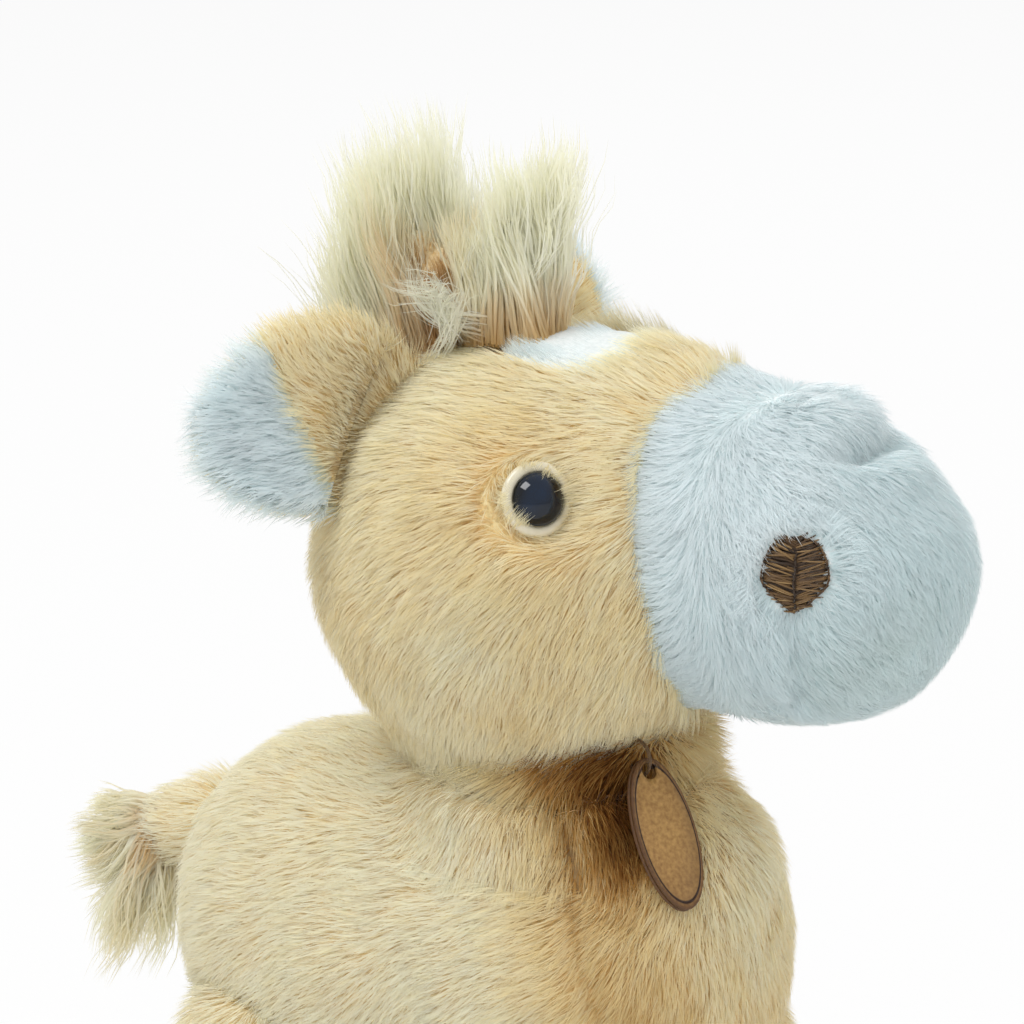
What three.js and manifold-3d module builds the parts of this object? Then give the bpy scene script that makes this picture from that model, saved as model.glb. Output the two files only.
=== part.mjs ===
import * as THREE from "three";
import { mergeVertices } from "three/addons/utils/BufferGeometryUtils.js";
import Module from "manifold-3d";

const wasm = await Module();
wasm.setup();

// A stuffed toy foal in millimetres: +X from tail to nose, +Y to the foal's left, +Z up,
// with the floor at zero. Every skin is a sewn shell with its own stuffing inside.

// Cloth and clearances
const cloth = 1.6;
const seamGap = 0.3;
const turnGap = 0.8;
const cutRun = 60;

// How finely the round forms are faceted
const bodySides = 18;
const bodyRings = 11;
const headSides = 20;
const headRings = 16;
const latheSides = 16;
const limbSides = 12;
const ballSides = 24;
const arcSteps = 4;
const lockSides = 5;
const outlineSteps = 8;
const threadSides = 6;

// Torso: a long swelling form with a full chest and rump
const torso = { x: -4, z: 99, halfLength: 69, halfWidth: 41, halfHeight: 46, chestLift: 11, rumpLift: 4 };
const torsoFullness = 2.7;
const waistShare = 0.05;
const waistSpreadShare = 0.35;
const chestSeam = { x: 35, z: 125, lean: 18 };

// Shoulders: a cone from the torso up to the neck seam, about the neck axis
const shoulder = { collar: 2.5, topZ: 150, baseRadius: 40, baseZ: 104 };

// Cranium and muzzle: a ball that tapers into an egg along the nose axis
const cranium = { x: 10, lowZ: 143, radius: 47 };
const muzzle = { along: 66, halfWidth: 34, halfHeight: 33, frontLength: 34, backLength: 60 };
const nosePitch = 5;
const muzzleSeam = 44;
const blendPower = 10;

// Neck: a stuffed plug that turns in the torso and carries the head in a bowl
const neck = { x: 18, radius: 28, bottom: 116 };
const headNod = 12;
const dishRise = 6;
const dishDrop = 1.2;

// Forehead blaze, seen from above
const blaze = { along: 14, halfLength: 15, halfWidth: 11 };

// Legs: a ball at the top, a taper to the ankle and a suede hoof
const legPivot = { frontX: 38, hindX: -47, y: 26.5, z: 73 };
const leg = { topRadius: 18, ankleRadius: 14, ankle: 30, hoofRadius: 17, hoofHeight: 17 };
const hoofWall = 2.2;
const soleThickness = 2.5;
const legSwing = 20;

// Tail: a short stub whose root ball sits in the rump, with a long-pile tuft
const tail = { sink: 1, z: 117, rootRadius: 9.5, endRadius: 7, length: 15, droop: 12 };
const tailWag = 25;
const tuft = { count: 7, topLength: 17, lowLength: 34, rootRadius: 6.5, fan: 44, spread: 22, sag: 40 };
const lockShares = { throat: 0.8, belly: 0.3, waist: 0.6, waistHeight: 0.7 };

// Ears: two layers of cloth in the shape of a leaf, folded at the root
const ear = { length: 47, halfWidth: 21, back: 3, lining: 2, liningInset: 2.2, cup: 4, sway: 9 };
const earColumns = 4;
const earRows = 7;
const earRoundness = 0.8;
const earRootShares = { back: -0.6, side: 0.5, up: 0.62 };
const earRootAngle = 42;
const liningRootAngle = 74;
const earFold = 20;
const earSink = 5;
const earPoses = [
  {
    name: "right",
    side: -1,
    alongShares: [-0.66, -0.62, 0.42],
    faceShares: [0.684, -0.692, 0.231],
    sway: 1,
  },
  {
    name: "left",
    side: 1,
    alongShares: [0.5, 0.63, 0.6],
    faceShares: [-0.605, 0.628, -0.489],
    sway: -1,
  },
];

// Mane: tufts of long pile on a backing strip over the poll and down the nape
const maneStrip = { width: 15, thickness: 1.2, front: 3, back: -82, steps: 10 };
const maneTufts = { rows: 2, count: 9, rootRadius: 7.5, long: 57, short: 38, offset: 4.5, spread: 7 };
const manePeakShare = 0.4;
const maneLean = { front: 10, fall: 52, level: 28 };

// Eyes: a plastic ring, a domed pupil with a shank, and a washer behind the cloth
const eye = { forward: 19.2, side: 37, up: 22.5, turn: 50, lift: 14, sink: 2.4 };
const eyeRing = { radius: 8.2, edge: 1, crown: 2.2, seatRadius: 5.9, bore: 2.4 };
const eyeDome = { radius: 5.7, height: 3.4, shankRadius: 2, shankLength: 13 };
const eyeWasher = { radius: 5.2, thickness: 1.4, hub: 3.4, hubHeight: 3, play: 2 };

// Nostrils: a pad of satin stitches, a rounded pentagon with its point down
const nostril = { forward: 76.2, side: 31, up: 12.4, radius: 7.6, thickness: 1.5 };
const nostrilCorners = 5;

// Swing tag: two leaves on a thread loop at the neck seam
const tag = { halfLength: 17, halfWidth: 7.6, leaf: 0.9, parting: 0.4, hole: 1.9, margin: 3 };
const tagYaw = -26;
const tagLoop = { radius: 3.8, thread: 0.45, lean: 48 };
const tagSeat = { around: -35, rise: 7.4, standOff: 6.75, lowClear: 2.3 };

const degree = Math.PI / 180;
const xAxis = new THREE.Vector3(1, 0, 0);
const yAxis = new THREE.Vector3(0, 1, 0);
const zAxis = new THREE.Vector3(0, 0, 1);

// A closed three.js geometry as a solid that can be joined and cut.
function toSolid(geometry) {
  const bare = geometry.clone();
  bare.deleteAttribute("normal");
  bare.deleteAttribute("uv");
  const merged = mergeVertices(bare);
  const triangles = [];
  for (let i = 0; i < merged.index.count; i += 3) {
    const corners = [0, 1, 2].map((step) => merged.index.getX(i + step));
    if (new Set(corners).size === 3) triangles.push(...corners);
  }
  return new wasm.Manifold(new wasm.Mesh({
    numProp: 3,
    vertProperties: Float32Array.from(merged.attributes.position.array),
    triVerts: Uint32Array.from(triangles),
  }));
}

function toGeometry(solid) {
  const mesh = solid.getMesh();
  const geometry = new THREE.BufferGeometry();
  geometry.setAttribute("position", new THREE.BufferAttribute(mesh.vertProperties, 3));
  geometry.setIndex(new THREE.BufferAttribute(mesh.triVerts, 1));
  geometry.computeVertexNormals();
  return geometry;
}

function moved(solid, matrix) {
  return solid.transform(matrix.elements);
}

function joined(solids) {
  return solids.reduce((whole, next) => whole.add(next));
}

// The middle of a ring of points, where its end cap comes to a point.
function middleOf(ring) {
  const sum = new THREE.Vector3();
  ring.forEach((point) => sum.add(point));
  return sum.multiplyScalar(1 / ring.length);
}

// A closed surface through rings of points, from one end point to the other.
// Each ring turns from +Y towards +Z as the rings go along +X.
function ringSolid(rings, start, end) {
  const points = [start, ...rings.flat(), end];
  const sides = rings[0].length;
  const last = points.length - 1;
  const at = (ring, side) => 1 + ring * sides + (side % sides);
  const triangles = [];
  for (let side = 0; side < sides; side += 1) {
    triangles.push(0, at(0, side + 1), at(0, side));
    triangles.push(last, at(rings.length - 1, side), at(rings.length - 1, side + 1));
    for (let ring = 0; ring < rings.length - 1; ring += 1) {
      triangles.push(at(ring, side), at(ring, side + 1), at(ring + 1, side));
      triangles.push(at(ring, side + 1), at(ring + 1, side + 1), at(ring + 1, side));
    }
  }
  const geometry = new THREE.BufferGeometry().setFromPoints(points);
  geometry.setIndex(triangles);
  return toSolid(geometry);
}

// A turned solid about +Z, from [radius, height] pairs that run up the outside.
function turned(profile, sides = latheSides) {
  const points = profile.map(([radius, height]) => new THREE.Vector2(radius, height));
  return toSolid(new THREE.LatheGeometry(points, sides).rotateX(Math.PI / 2));
}

// Points on a circle about the lathe's axis, between two angles from straight down.
function arc(radius, height, from, to, steps = arcSteps) {
  const points = [];
  for (let i = 0; i <= steps; i += 1) {
    const angle = (from + (to - from) * i / steps) * degree;
    points.push([Math.max(0, radius * Math.sin(angle)), height - radius * Math.cos(angle)]);
  }
  return points;
}

function ball(radius, centre, sides = latheSides) {
  const profile = arc(radius, 0, 0, 180, sides / 2);
  return turned(profile, sides).translate(centre.toArray());
}

// A rod of one radius between two heights on the +Z axis.
function rod(radius, low, high, sides = latheSides) {
  return turned([[0, low], [radius, low], [radius, high], [0, high]], sides);
}

// How far the flats of a faceted round lie inside its corners, as a share of its radius.
function flatShare(sides) {
  return Math.cos(Math.PI / sides);
}

// Places a solid made about the origin so that its +Z runs along a direction.
function aimed(solid, direction, place) {
  const turn = new THREE.Quaternion().setFromUnitVectors(zAxis, direction.clone().normalize());
  return moved(solid, new THREE.Matrix4().compose(place, turn, new THREE.Vector3(1, 1, 1)));
}

// A turn about a line through a point.
function turnAbout(point, axis, degrees) {
  return new THREE.Matrix4().makeTranslation(point.x, point.y, point.z)
    .multiply(new THREE.Matrix4().makeRotationAxis(axis, degrees * degree))
    .multiply(new THREE.Matrix4().makeTranslation(-point.x, -point.y, -point.z));
}

const model = new THREE.Group();

function addPart(name, solid, color, roughness, metalness = 0) {
  const material = new THREE.MeshStandardMaterial({ color, roughness, metalness });
  const mesh = new THREE.Mesh(toGeometry(solid), material);
  mesh.name = name;
  model.add(mesh);
}

const tan = "#e8cfa0";
const white = "#e9eef2";
const cream = "#eadfc4";
const fill = "#f6f4ee";
const suede = "#8d6b4a";

// Torso
// A point of the torso's outside, at a share along its length and an angle around it.
function torsoPoint(alongShare, round, around, inset) {
  const liftShare = alongShare * alongShare;
  const lift = (alongShare > 0 ? torso.chestLift : torso.rumpLift) * liftShare;
  const narrow = 1 - waistShare * Math.exp(-((alongShare / waistSpreadShare) ** 2));
  return new THREE.Vector3(
    torso.x + (torso.halfLength - inset) * alongShare,
    (torso.halfWidth - inset) * round * narrow * Math.cos(around),
    torso.z + lift + (torso.halfHeight - inset) * round * Math.sin(around),
  );
}

function fullRound(alongShare) {
  return (1 - Math.abs(alongShare) ** torsoFullness) ** (1 / torsoFullness);
}

const cranialCentre = new THREE.Vector3(cranium.x, 0, cranium.lowZ + cranium.radius);

// The shallow cone that keeps the torso clear of the turning and nodding head.
function dishTool(inset) {
  const low = -cranium.radius - turnGap - dishDrop - inset;
  const reach = torso.halfLength * 2;
  const profile = [[0, low], [reach, low + reach * Math.tan(dishRise * degree)], [reach, reach], [0, reach]];
  return turned(profile).translate([neck.x, 0, cranialCentre.z]);
}

function shoulderCone(inset) {
  const { topZ, baseRadius, baseZ } = shoulder;
  const topRadius = neck.radius + shoulder.collar;
  return turned([[0, baseZ], [baseRadius - inset, baseZ], [topRadius - inset, topZ], [0, topZ]])
    .translate([neck.x, 0, 0]);
}

function torsoForm(inset) {
  const rings = [];
  for (let i = 1; i < bodyRings; i += 1) {
    const turn = Math.PI * i / bodyRings;
    const alongShare = -Math.sign(Math.cos(turn)) * Math.abs(Math.cos(turn)) ** (2 / torsoFullness);
    const ring = [];
    for (let side = 0; side < bodySides; side += 1) {
      const around = 2 * Math.PI * side / bodySides;
      ring.push(torsoPoint(alongShare, fullRound(alongShare), around, inset));
    }
    rings.push(ring);
  }
  const barrel = ringSolid(rings, torsoPoint(-1, 0, 0, inset), torsoPoint(1, 0, 0, inset));
  return barrel.add(shoulderCone(inset)).subtract(dishTool(inset));
}

// Half the space, from one place along X to beyond the toy.
function ahead(x) {
  const size = torso.halfLength * 6;
  return toSolid(new THREE.BoxGeometry(size, size, size)).translate([x + size / 2, 0, 0]);
}

// The chest panel lies ahead of a seam that leans back towards the neck.
function chestTool(offset) {
  const place = new THREE.Vector3(chestSeam.x, 0, chestSeam.z);
  return moved(ahead(chestSeam.x + offset), turnAbout(place, yAxis, -chestSeam.lean));
}

// Head
// The nose axis rises from the centre of the cranium.
const headTurn = new THREE.Matrix4().makeTranslation(cranialCentre.x, 0, cranialCentre.z)
  .multiply(new THREE.Matrix4().makeRotationY(-nosePitch * degree));

function inHead(solid) {
  return moved(solid, headTurn);
}

function circleAt(radius, along) {
  return Math.sqrt(Math.max(0, radius * radius - along * along));
}

function eggAt(half, along, inset) {
  const length = (along > muzzle.along ? muzzle.frontLength : muzzle.backLength) - inset;
  const share = (along - muzzle.along) / length;
  return (half - inset) * Math.sqrt(Math.max(0, 1 - share * share));
}

function blended(first, second) {
  return (first ** blendPower + second ** blendPower) ** (1 / blendPower);
}

// Half width, height above and depth below the nose axis at one place along it.
function headSection(along, inset) {
  const round = circleAt(cranium.radius - inset, along);
  const taperShare = (cranium.radius - muzzle.halfHeight) / muzzle.along;
  const slant = Math.sqrt(1 - taperShare * taperShare);
  const bridge = (cranium.radius - inset - taperShare * along) / slant;
  const onBridge = along > cranium.radius * taperShare && along < muzzle.along;
  const low = blended(round, eggAt(muzzle.halfHeight, along, inset));
  return {
    width: blended(round, eggAt(muzzle.halfWidth, along, inset)),
    up: onBridge ? Math.max(low, bridge) : low,
    down: low,
  };
}

function headLoft(inset) {
  const start = -(cranium.radius - inset);
  const end = muzzle.along + muzzle.frontLength - inset;
  const rings = [];
  for (let i = 1; i < headRings; i += 1) {
    const along = start + (end - start) * (1 - Math.cos(Math.PI * i / headRings)) / 2;
    const { width, up, down } = headSection(along, inset);
    const ring = [];
    for (let side = 0; side < headSides; side += 1) {
      const around = 2 * Math.PI * side / headSides;
      const height = Math.sin(around) > 0 ? up : down;
      ring.push(new THREE.Vector3(along, width * Math.cos(around), height * Math.sin(around)));
    }
    rings.push(ring);
  }
  return inHead(ringSolid(rings, new THREE.Vector3(start, 0, 0), new THREE.Vector3(end, 0, 0)));
}

// Eye seats: each is a flat dimple, square to the way that eye looks.
function eyeFrame(side) {
  const look = new THREE.Vector3(
    Math.sin(eye.turn * degree) * Math.cos(eye.lift * degree),
    side * Math.cos(eye.turn * degree) * Math.cos(eye.lift * degree),
    Math.sin(eye.lift * degree),
  );
  const seat = new THREE.Vector3(eye.forward, side * eye.side, eye.up).add(cranialCentre);
  seat.addScaledVector(look, -eye.sink);
  return { look, seat };
}

function eyeDimples(inset) {
  const solids = [-1, 1].map((side) => {
    const { look, seat } = eyeFrame(side);
    return aimed(rod(eyeRing.radius + turnGap + inset, -inset, cutRun), look, seat);
  });
  return joined(solids);
}

function headForm(inset) {
  return headLoft(inset).subtract(eyeDimples(inset));
}

const headOutside = headForm(0);
const headShell = headOutside.subtract(headForm(cloth));

function seamTool(offset) {
  return inHead(ahead(muzzleSeam + offset));
}

function blazeTool(inset) {
  const outline = new THREE.CylinderGeometry(1, 1, cutRun, limbSides).rotateX(Math.PI / 2);
  outline.scale(blaze.halfLength - inset, blaze.halfWidth - inset, 1);
  return inHead(toSolid(outline).translate([blaze.along, 0, cutRun / 2 + muzzle.halfHeight / 2]));
}

function makeHead() {
  const shanks = [-1, 1].map((side) => {
    const { look, seat } = eyeFrame(side);
    return aimed(rod(eyeRing.bore, -cutRun / 2, cutRun, limbSides), look, seat);
  });
  const skin = headShell.subtract(seamTool(0)).subtract(blazeTool(0)).subtract(joined(shanks));
  addPart("head_skin", skin, tan, 0.95);
  addPart("forehead_blaze", headShell.intersect(blazeTool(seamGap)), white, 0.95);
  addPart("muzzle_skin", headShell.intersect(seamTool(seamGap)), white, 0.95);

  const pockets = [-1, 1].map((side) => {
    const { look, seat } = eyeFrame(side);
    const depth = eyeDome.shankLength + seamGap;
    return aimed(rod(eyeWasher.radius + turnGap, -depth, cutRun, limbSides), look, seat);
  });
  const stuffing = headForm(cloth + seamGap);
  addPart("head_stuffing", stuffing.subtract(seamTool(0)).subtract(joined(pockets)), fill, 1);
  addPart("muzzle_stuffing", stuffing.intersect(seamTool(seamGap)), fill, 1);
}

// Eyes
function makeEyes() {
  [["right", -1], ["left", 1]].forEach(([name, side]) => {
    const { look, seat } = eyeFrame(side);
    const ring = turned([
      [eyeRing.bore, seamGap],
      [eyeRing.radius, seamGap],
      [eyeRing.radius, eyeRing.edge],
      [(eyeRing.radius + eyeRing.seatRadius) / 2, eyeRing.crown],
      [eyeRing.seatRadius, eyeRing.crown],
      [eyeRing.seatRadius, eyeRing.edge],
      [eyeRing.bore, eyeRing.edge],
      [eyeRing.bore, seamGap],
    ]);
    addPart(`eye_ring_${name}`, aimed(ring, look, seat), "#efe6cf", 0.25);

    const seatHeight = eyeRing.edge + seamGap;
    const domeRadius = (eyeDome.radius ** 2 + eyeDome.height ** 2) / (2 * eyeDome.height);
    const rim = Math.asin(eyeDome.radius / domeRadius) / degree;
    const crown = seatHeight + cloth / 2 + eyeDome.height - domeRadius;
    const dome = turned([
      [0, -eyeDome.shankLength],
      [eyeDome.shankRadius, -eyeDome.shankLength],
      [eyeDome.shankRadius, seatHeight],
      [eyeDome.radius, seatHeight],
      ...arc(domeRadius, crown, 180 - rim, 180),
    ], limbSides);
    addPart(`eye_dome_${name}`, aimed(dome, look, seat), "#0b0d1c", 0.08);

    const behind = -cloth - eyeWasher.play;
    const washer = turned([
      [eyeDome.shankRadius + seamGap, behind - eyeWasher.hubHeight],
      [eyeWasher.hub, behind - eyeWasher.hubHeight],
      [eyeWasher.hub, behind - eyeWasher.thickness],
      [eyeWasher.radius, behind - eyeWasher.thickness],
      [eyeWasher.radius, behind],
      [eyeDome.shankRadius + seamGap, behind],
      [eyeDome.shankRadius + seamGap, behind - eyeWasher.hubHeight],
    ], limbSides);
    addPart(`eye_washer_${name}`, aimed(washer, look, seat), "#dcdcd6", 0.5);
  });
}

// Nostrils
function makeNostrils() {
  const band = headForm(-seamGap - nostril.thickness).subtract(headForm(-seamGap));
  [["right", -1], ["left", 1]].forEach(([name, side]) => {
    const place = new THREE.Vector3(nostril.forward, side * nostril.side, nostril.up).add(cranialCentre);
    const muzzleCentre = new THREE.Vector3(muzzle.along, 0, 0).applyMatrix4(headTurn);
    const out = place.clone().sub(muzzleCentre).normalize();
    const outline = new THREE.Shape();
    for (let i = 0; i <= nostrilCorners; i += 1) {
      const angle = (270 + 360 * i / nostrilCorners) * degree;
      const middle = angle - 180 / nostrilCorners * degree;
      const corner = new THREE.Vector2(Math.cos(angle), Math.sin(angle)).multiplyScalar(nostril.radius);
      const bulge = new THREE.Vector2(Math.cos(middle), Math.sin(middle)).multiplyScalar(nostril.radius);
      if (i === 0) outline.moveTo(corner.x, corner.y);
      else outline.quadraticCurveTo(bulge.x, bulge.y, corner.x, corner.y);
    }
    const depth = nostril.radius * 2;
    const prism = new THREE.ExtrudeGeometry(outline, { depth, bevelEnabled: false, curveSegments: 3 });
    prism.translate(0, 0, -depth / 2);
    const upright = zAxis.clone().addScaledVector(out, -out.z).normalize();
    const across = new THREE.Vector3().crossVectors(upright, out);
    const frame = new THREE.Matrix4().makeBasis(across, upright, out).setPosition(place);
    addPart(`nostril_${name}`, moved(toSolid(prism), frame).intersect(band), "#6b4a33", 0.7);
  });
}

// Legs
function legSection(inset, low) {
  const pivot = legPivot.z;
  const points = arc(leg.topRadius - inset, pivot, 180, 90);
  points.push([(leg.topRadius + leg.ankleRadius) / 2 - inset, (pivot + leg.ankle) / 2]);
  points.push([leg.ankleRadius - inset, leg.ankle]);
  points.push([leg.ankleRadius - inset, low]);
  return points.reverse();
}

// The space that a leg sweeps in the torso when it swings.
function legTool(x, y) {
  const pivot = new THREE.Vector3(x, y, legPivot.z);
  const radius = leg.topRadius + turnGap;
  const shafts = [-legSwing, 0, legSwing].map((angle) => {
    const shaft = rod(radius, -cutRun, 0, limbSides).translate(pivot.toArray());
    return moved(shaft, turnAbout(pivot, yAxis, angle));
  });
  return joined([ball(radius, pivot, latheSides), ...shafts]);
}

const legPlaces = [
  ["front_right", legPivot.frontX, -legPivot.y],
  ["front_left", legPivot.frontX, legPivot.y],
  ["hind_right", legPivot.hindX, -legPivot.y],
  ["hind_left", legPivot.hindX, legPivot.y],
];

function makeLegs() {
  const top = leg.hoofHeight + seamGap;
  const outside = legSection(0, top);
  const inside = legSection(cloth, top).reverse();
  const skin = turned([...outside, ...inside, outside[0]], limbSides);
  const fillInset = cloth + seamGap;
  const fillLow = soleThickness + seamGap;
  const core = turned([[0, fillLow], ...legSection(fillInset, fillLow)], limbSides);
  const inner = leg.hoofRadius - hoofWall;
  const throat = leg.ankleRadius - cloth;
  const hoof = turned([
    [inner, 0],
    [leg.hoofRadius, 0],
    [leg.hoofRadius, leg.hoofHeight / 2],
    [leg.ankleRadius + seamGap, leg.hoofHeight],
    [throat, leg.hoofHeight],
    [throat, leg.hoofHeight - hoofWall],
    [inner, leg.hoofHeight / 2],
    [inner, 0],
  ], limbSides);
  const sole = rod(inner - seamGap, 0, soleThickness, limbSides);
  legPlaces.forEach(([name, x, y]) => {
    addPart(`leg_skin_${name}`, skin.translate([x, y, 0]), tan, 0.95);
    addPart(`leg_stuffing_${name}`, core.translate([x, y, 0]), fill, 1);
    addPart(`hoof_${name}`, hoof.translate([x, y, 0]), suede, 0.85);
    addPart(`sole_${name}`, sole.translate([x, y, 0]), suede, 0.9);
  });
}

// Tail
const tailRoot = new THREE.Vector3(torso.x - torso.halfLength + tail.sink, 0, tail.z);
const tailAim = new THREE.Vector3(-Math.cos(tail.droop * degree), 0, -Math.sin(tail.droop * degree));

function tailSection(inset) {
  const points = arc(tail.rootRadius - inset, 0, 0, 90);
  points.push([tail.endRadius - inset, tail.length]);
  return points;
}

function tailTool() {
  const radius = tail.rootRadius + turnGap;
  const shafts = [-tailWag, 0, tailWag].map((angle) => {
    const shaft = aimed(rod(radius, 0, cutRun, limbSides), tailAim, tailRoot);
    return moved(shaft, turnAbout(tailRoot, zAxis, angle));
  });
  return joined([ball(radius, tailRoot, limbSides), ...shafts]);
}

// One lock of long pile: a soft spindle from its root to a fine tip.
function lock(rootRadius, length) {
  return turned([
    [0, -rootRadius],
    [rootRadius * lockShares.throat, -rootRadius / 2],
    [rootRadius, length * lockShares.belly],
    [rootRadius * lockShares.waist, length * lockShares.waistHeight],
    [0, length],
  ], lockSides);
}

function makeTail() {
  const shell = [...tailSection(0), ...tailSection(cloth).reverse()];
  addPart("tail_skin", aimed(turned(shell, limbSides), tailAim, tailRoot), tan, 0.95);
  const core = [...tailSection(cloth + seamGap), [0, tail.length]];
  addPart("tail_stuffing", aimed(turned(core, limbSides), tailAim, tailRoot), fill, 1);

  const end = tailRoot.clone().addScaledVector(tailAim, tail.length + seamGap);
  const locks = [];
  for (let i = 0; i < tuft.count; i += 1) {
    const share = i / (tuft.count - 1);
    const dip = tuft.sag + tuft.fan * (2 * share - 1);
    const side = (i % 3 - 1) * tuft.spread;
    const length = tuft.topLength + (tuft.lowLength - tuft.topLength) * share;
    const aim = tailAim.clone().applyAxisAngle(yAxis, -dip * degree);
    aim.applyAxisAngle(zAxis, side * degree);
    const start = end.clone().addScaledVector(tailAim, tuft.rootRadius);
    locks.push(aimed(lock(tuft.rootRadius, length), aim, start));
  }
  const stub = aimed(rod(tail.endRadius + cutRun, -cutRun, tail.length + seamGap), tailAim, tailRoot);
  addPart("tail_tuft", joined(locks).subtract(stub), cream, 1);
}

// Mane
function maneBacking() {
  const inner = cranium.radius + seamGap;
  const outer = inner + maneStrip.thickness;
  const half = maneStrip.width / 2;
  const rings = [];
  for (let i = 0; i <= maneStrip.steps; i += 1) {
    const angle = (maneStrip.back + (maneStrip.front - maneStrip.back) * i / maneStrip.steps) * degree;
    const at = (radius, y) => new THREE.Vector3(Math.sin(angle) * radius, y, Math.cos(angle) * radius)
      .add(cranialCentre);
    rings.push([at(outer, half), at(outer, -half), at(inner, -half), at(inner, half)]);
  }
  return ringSolid(rings, middleOf(rings[0]), middleOf(rings[rings.length - 1]));
}

function makeMane() {
  addPart("mane_backing", maneBacking(), cream, 0.9);
  const seat = cranium.radius + seamGap + maneStrip.thickness + seamGap;
  const locks = [];
  for (let row = 0; row < maneTufts.rows; row += 1) {
    const side = 2 * row / (maneTufts.rows - 1) - 1;
    for (let i = 0; i < maneTufts.count; i += 1) {
      const share = (i + (row % 2) / 2) / maneTufts.count;
      const angle = maneStrip.front + (maneStrip.back - maneStrip.front) * share;
      const lean = maneLean.front - maneLean.fall * share + maneLean.level * share * share;
      const fallShare = 2 * Math.abs(share - manePeakShare);
      const length = maneTufts.long - (maneTufts.long - maneTufts.short) * fallShare;
      const start = new THREE.Vector3(0, 0, seat).applyAxisAngle(yAxis, angle * degree);
      start.add(cranialCentre).setY(side * maneTufts.offset);
      const aim = zAxis.clone().applyAxisAngle(yAxis, lean * degree);
      aim.applyAxisAngle(xAxis, -side * maneTufts.spread * degree);
      locks.push(aimed(lock(maneTufts.rootRadius, length), aim, start));
    }
  }
  const drum = rod(seat / flatShare(ballSides), -cutRun, cutRun, ballSides);
  const under = moved(drum, turnAbout(new THREE.Vector3(), xAxis, 90)).translate(cranialCentre.toArray());
  addPart("mane_hair", joined(locks).subtract(under), cream, 1);
}

// Ears
// A bent sheet in the shape of a leaf, between two heights over its middle surface.
function leaf(rootAngle, inset, low, high, sway) {
  const rings = [];
  for (let i = 0; i < earRows; i += 1) {
    const angle = (rootAngle + (180 - rootAngle) * i / earRows) * degree;
    const alongShare = (1 - Math.cos(angle)) / 2;
    const half = ear.halfWidth * Math.sin(angle) ** earRoundness - inset;
    const ring = [];
    for (let step = 0; step <= 2 * earColumns + 1; step += 1) {
      const top = step <= earColumns;
      const column = top ? step : 2 * earColumns + 1 - step;
      const y = half * (1 - 2 * column / earColumns);
      const bend = ear.cup * (y / ear.halfWidth) ** 2 - ear.cup / 2 * alongShare ** 2;
      const point = new THREE.Vector3(ear.length * alongShare, y, bend + (top ? high : low));
      ring.push(point.setY(y + sway * alongShare ** 2));
    }
    rings.push(ring);
  }
  const tip = middleOf(rings[rings.length - 1]);
  tip.x = ear.length - inset;
  return ringSolid(rings, middleOf(rings[0]), tip);
}

function earFrame(pose) {
  const root = new THREE.Vector3(earRootShares.back, pose.side * earRootShares.side, earRootShares.up);
  root.normalize().multiplyScalar(cranium.radius + seamGap).add(cranialCentre);
  const along = new THREE.Vector3(...pose.alongShares).normalize();
  const face = new THREE.Vector3(...pose.faceShares);
  face.addScaledVector(along, -face.dot(along)).normalize();
  const across = new THREE.Vector3().crossVectors(face, along);
  return { root, along, face, across };
}

function makeEars() {
  earPoses.forEach((pose) => {
    const { root, along, face, across } = earFrame(pose);
    const rootLength = ear.length * (1 - Math.cos(earRootAngle * degree)) / 2;
    const start = root.clone().addScaledVector(along, -rootLength);
    const frame = new THREE.Matrix4().makeBasis(along, across, face);
    frame.setPosition(start.addScaledVector(along, -earSink));
    const rim = (cranium.radius + seamGap) / flatShare(ballSides) ** 2;
    const spheres = [-earFold, 0, earFold].map((angle) => {
      return moved(ball(rim, cranialCentre, ballSides), turnAbout(root, across, angle));
    });
    const clear = joined(spheres);
    const sway = ear.sway * pose.sway;
    const back = leaf(earRootAngle, 0, -ear.back / 2, ear.back / 2, sway);
    const top = ear.back / 2 + seamGap;
    const lining = leaf(liningRootAngle, ear.liningInset, top, top + ear.lining, sway);
    addPart(`ear_back_${pose.name}`, moved(back, frame).subtract(clear), tan, 0.95);
    addPart(`ear_lining_${pose.name}`, moved(lining, frame).subtract(clear), white, 0.95);
  });
}

// Neck
function makeNeck() {
  const nodded = moved(headForm(-turnGap), turnAbout(cranialCentre, yAxis, headNod));
  const rim = (cranium.radius + seamGap) / flatShare(ballSides) ** 2;
  const bowl = ball(rim, cranialCentre, ballSides).add(nodded);
  const top = cranialCentre.z;
  const inside = rod(neck.radius - cloth, neck.bottom - cloth, top + cloth);
  const tube = rod(neck.radius, neck.bottom, top).subtract(inside);
  addPart("neck_skin", tube.translate([neck.x, 0, 0]).subtract(bowl), tan, 0.95);
  const core = rod(neck.radius - cloth - seamGap, neck.bottom, top).translate([neck.x, 0, 0]);
  addPart("neck_stuffing", core.subtract(bowl), fill, 1);
}

function makeTorso() {
  const recess = rod(neck.radius + seamGap * 2, neck.bottom - seamGap, cranialCentre.z);
  const legTools = legPlaces.map(([, x, y]) => legTool(x, y));
  const tools = [recess.translate([neck.x, 0, 0]), tailTool(), ...legTools];
  const clear = joined(tools);
  const shell = torsoForm(0).subtract(torsoForm(cloth)).subtract(clear);
  addPart("torso_skin", shell.subtract(chestTool(0)), tan, 0.95);
  addPart("chest_skin", shell.intersect(chestTool(seamGap)), tan, 0.95);
  addPart("torso_stuffing", torsoForm(cloth + seamGap).subtract(clear), fill, 1);
}

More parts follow.
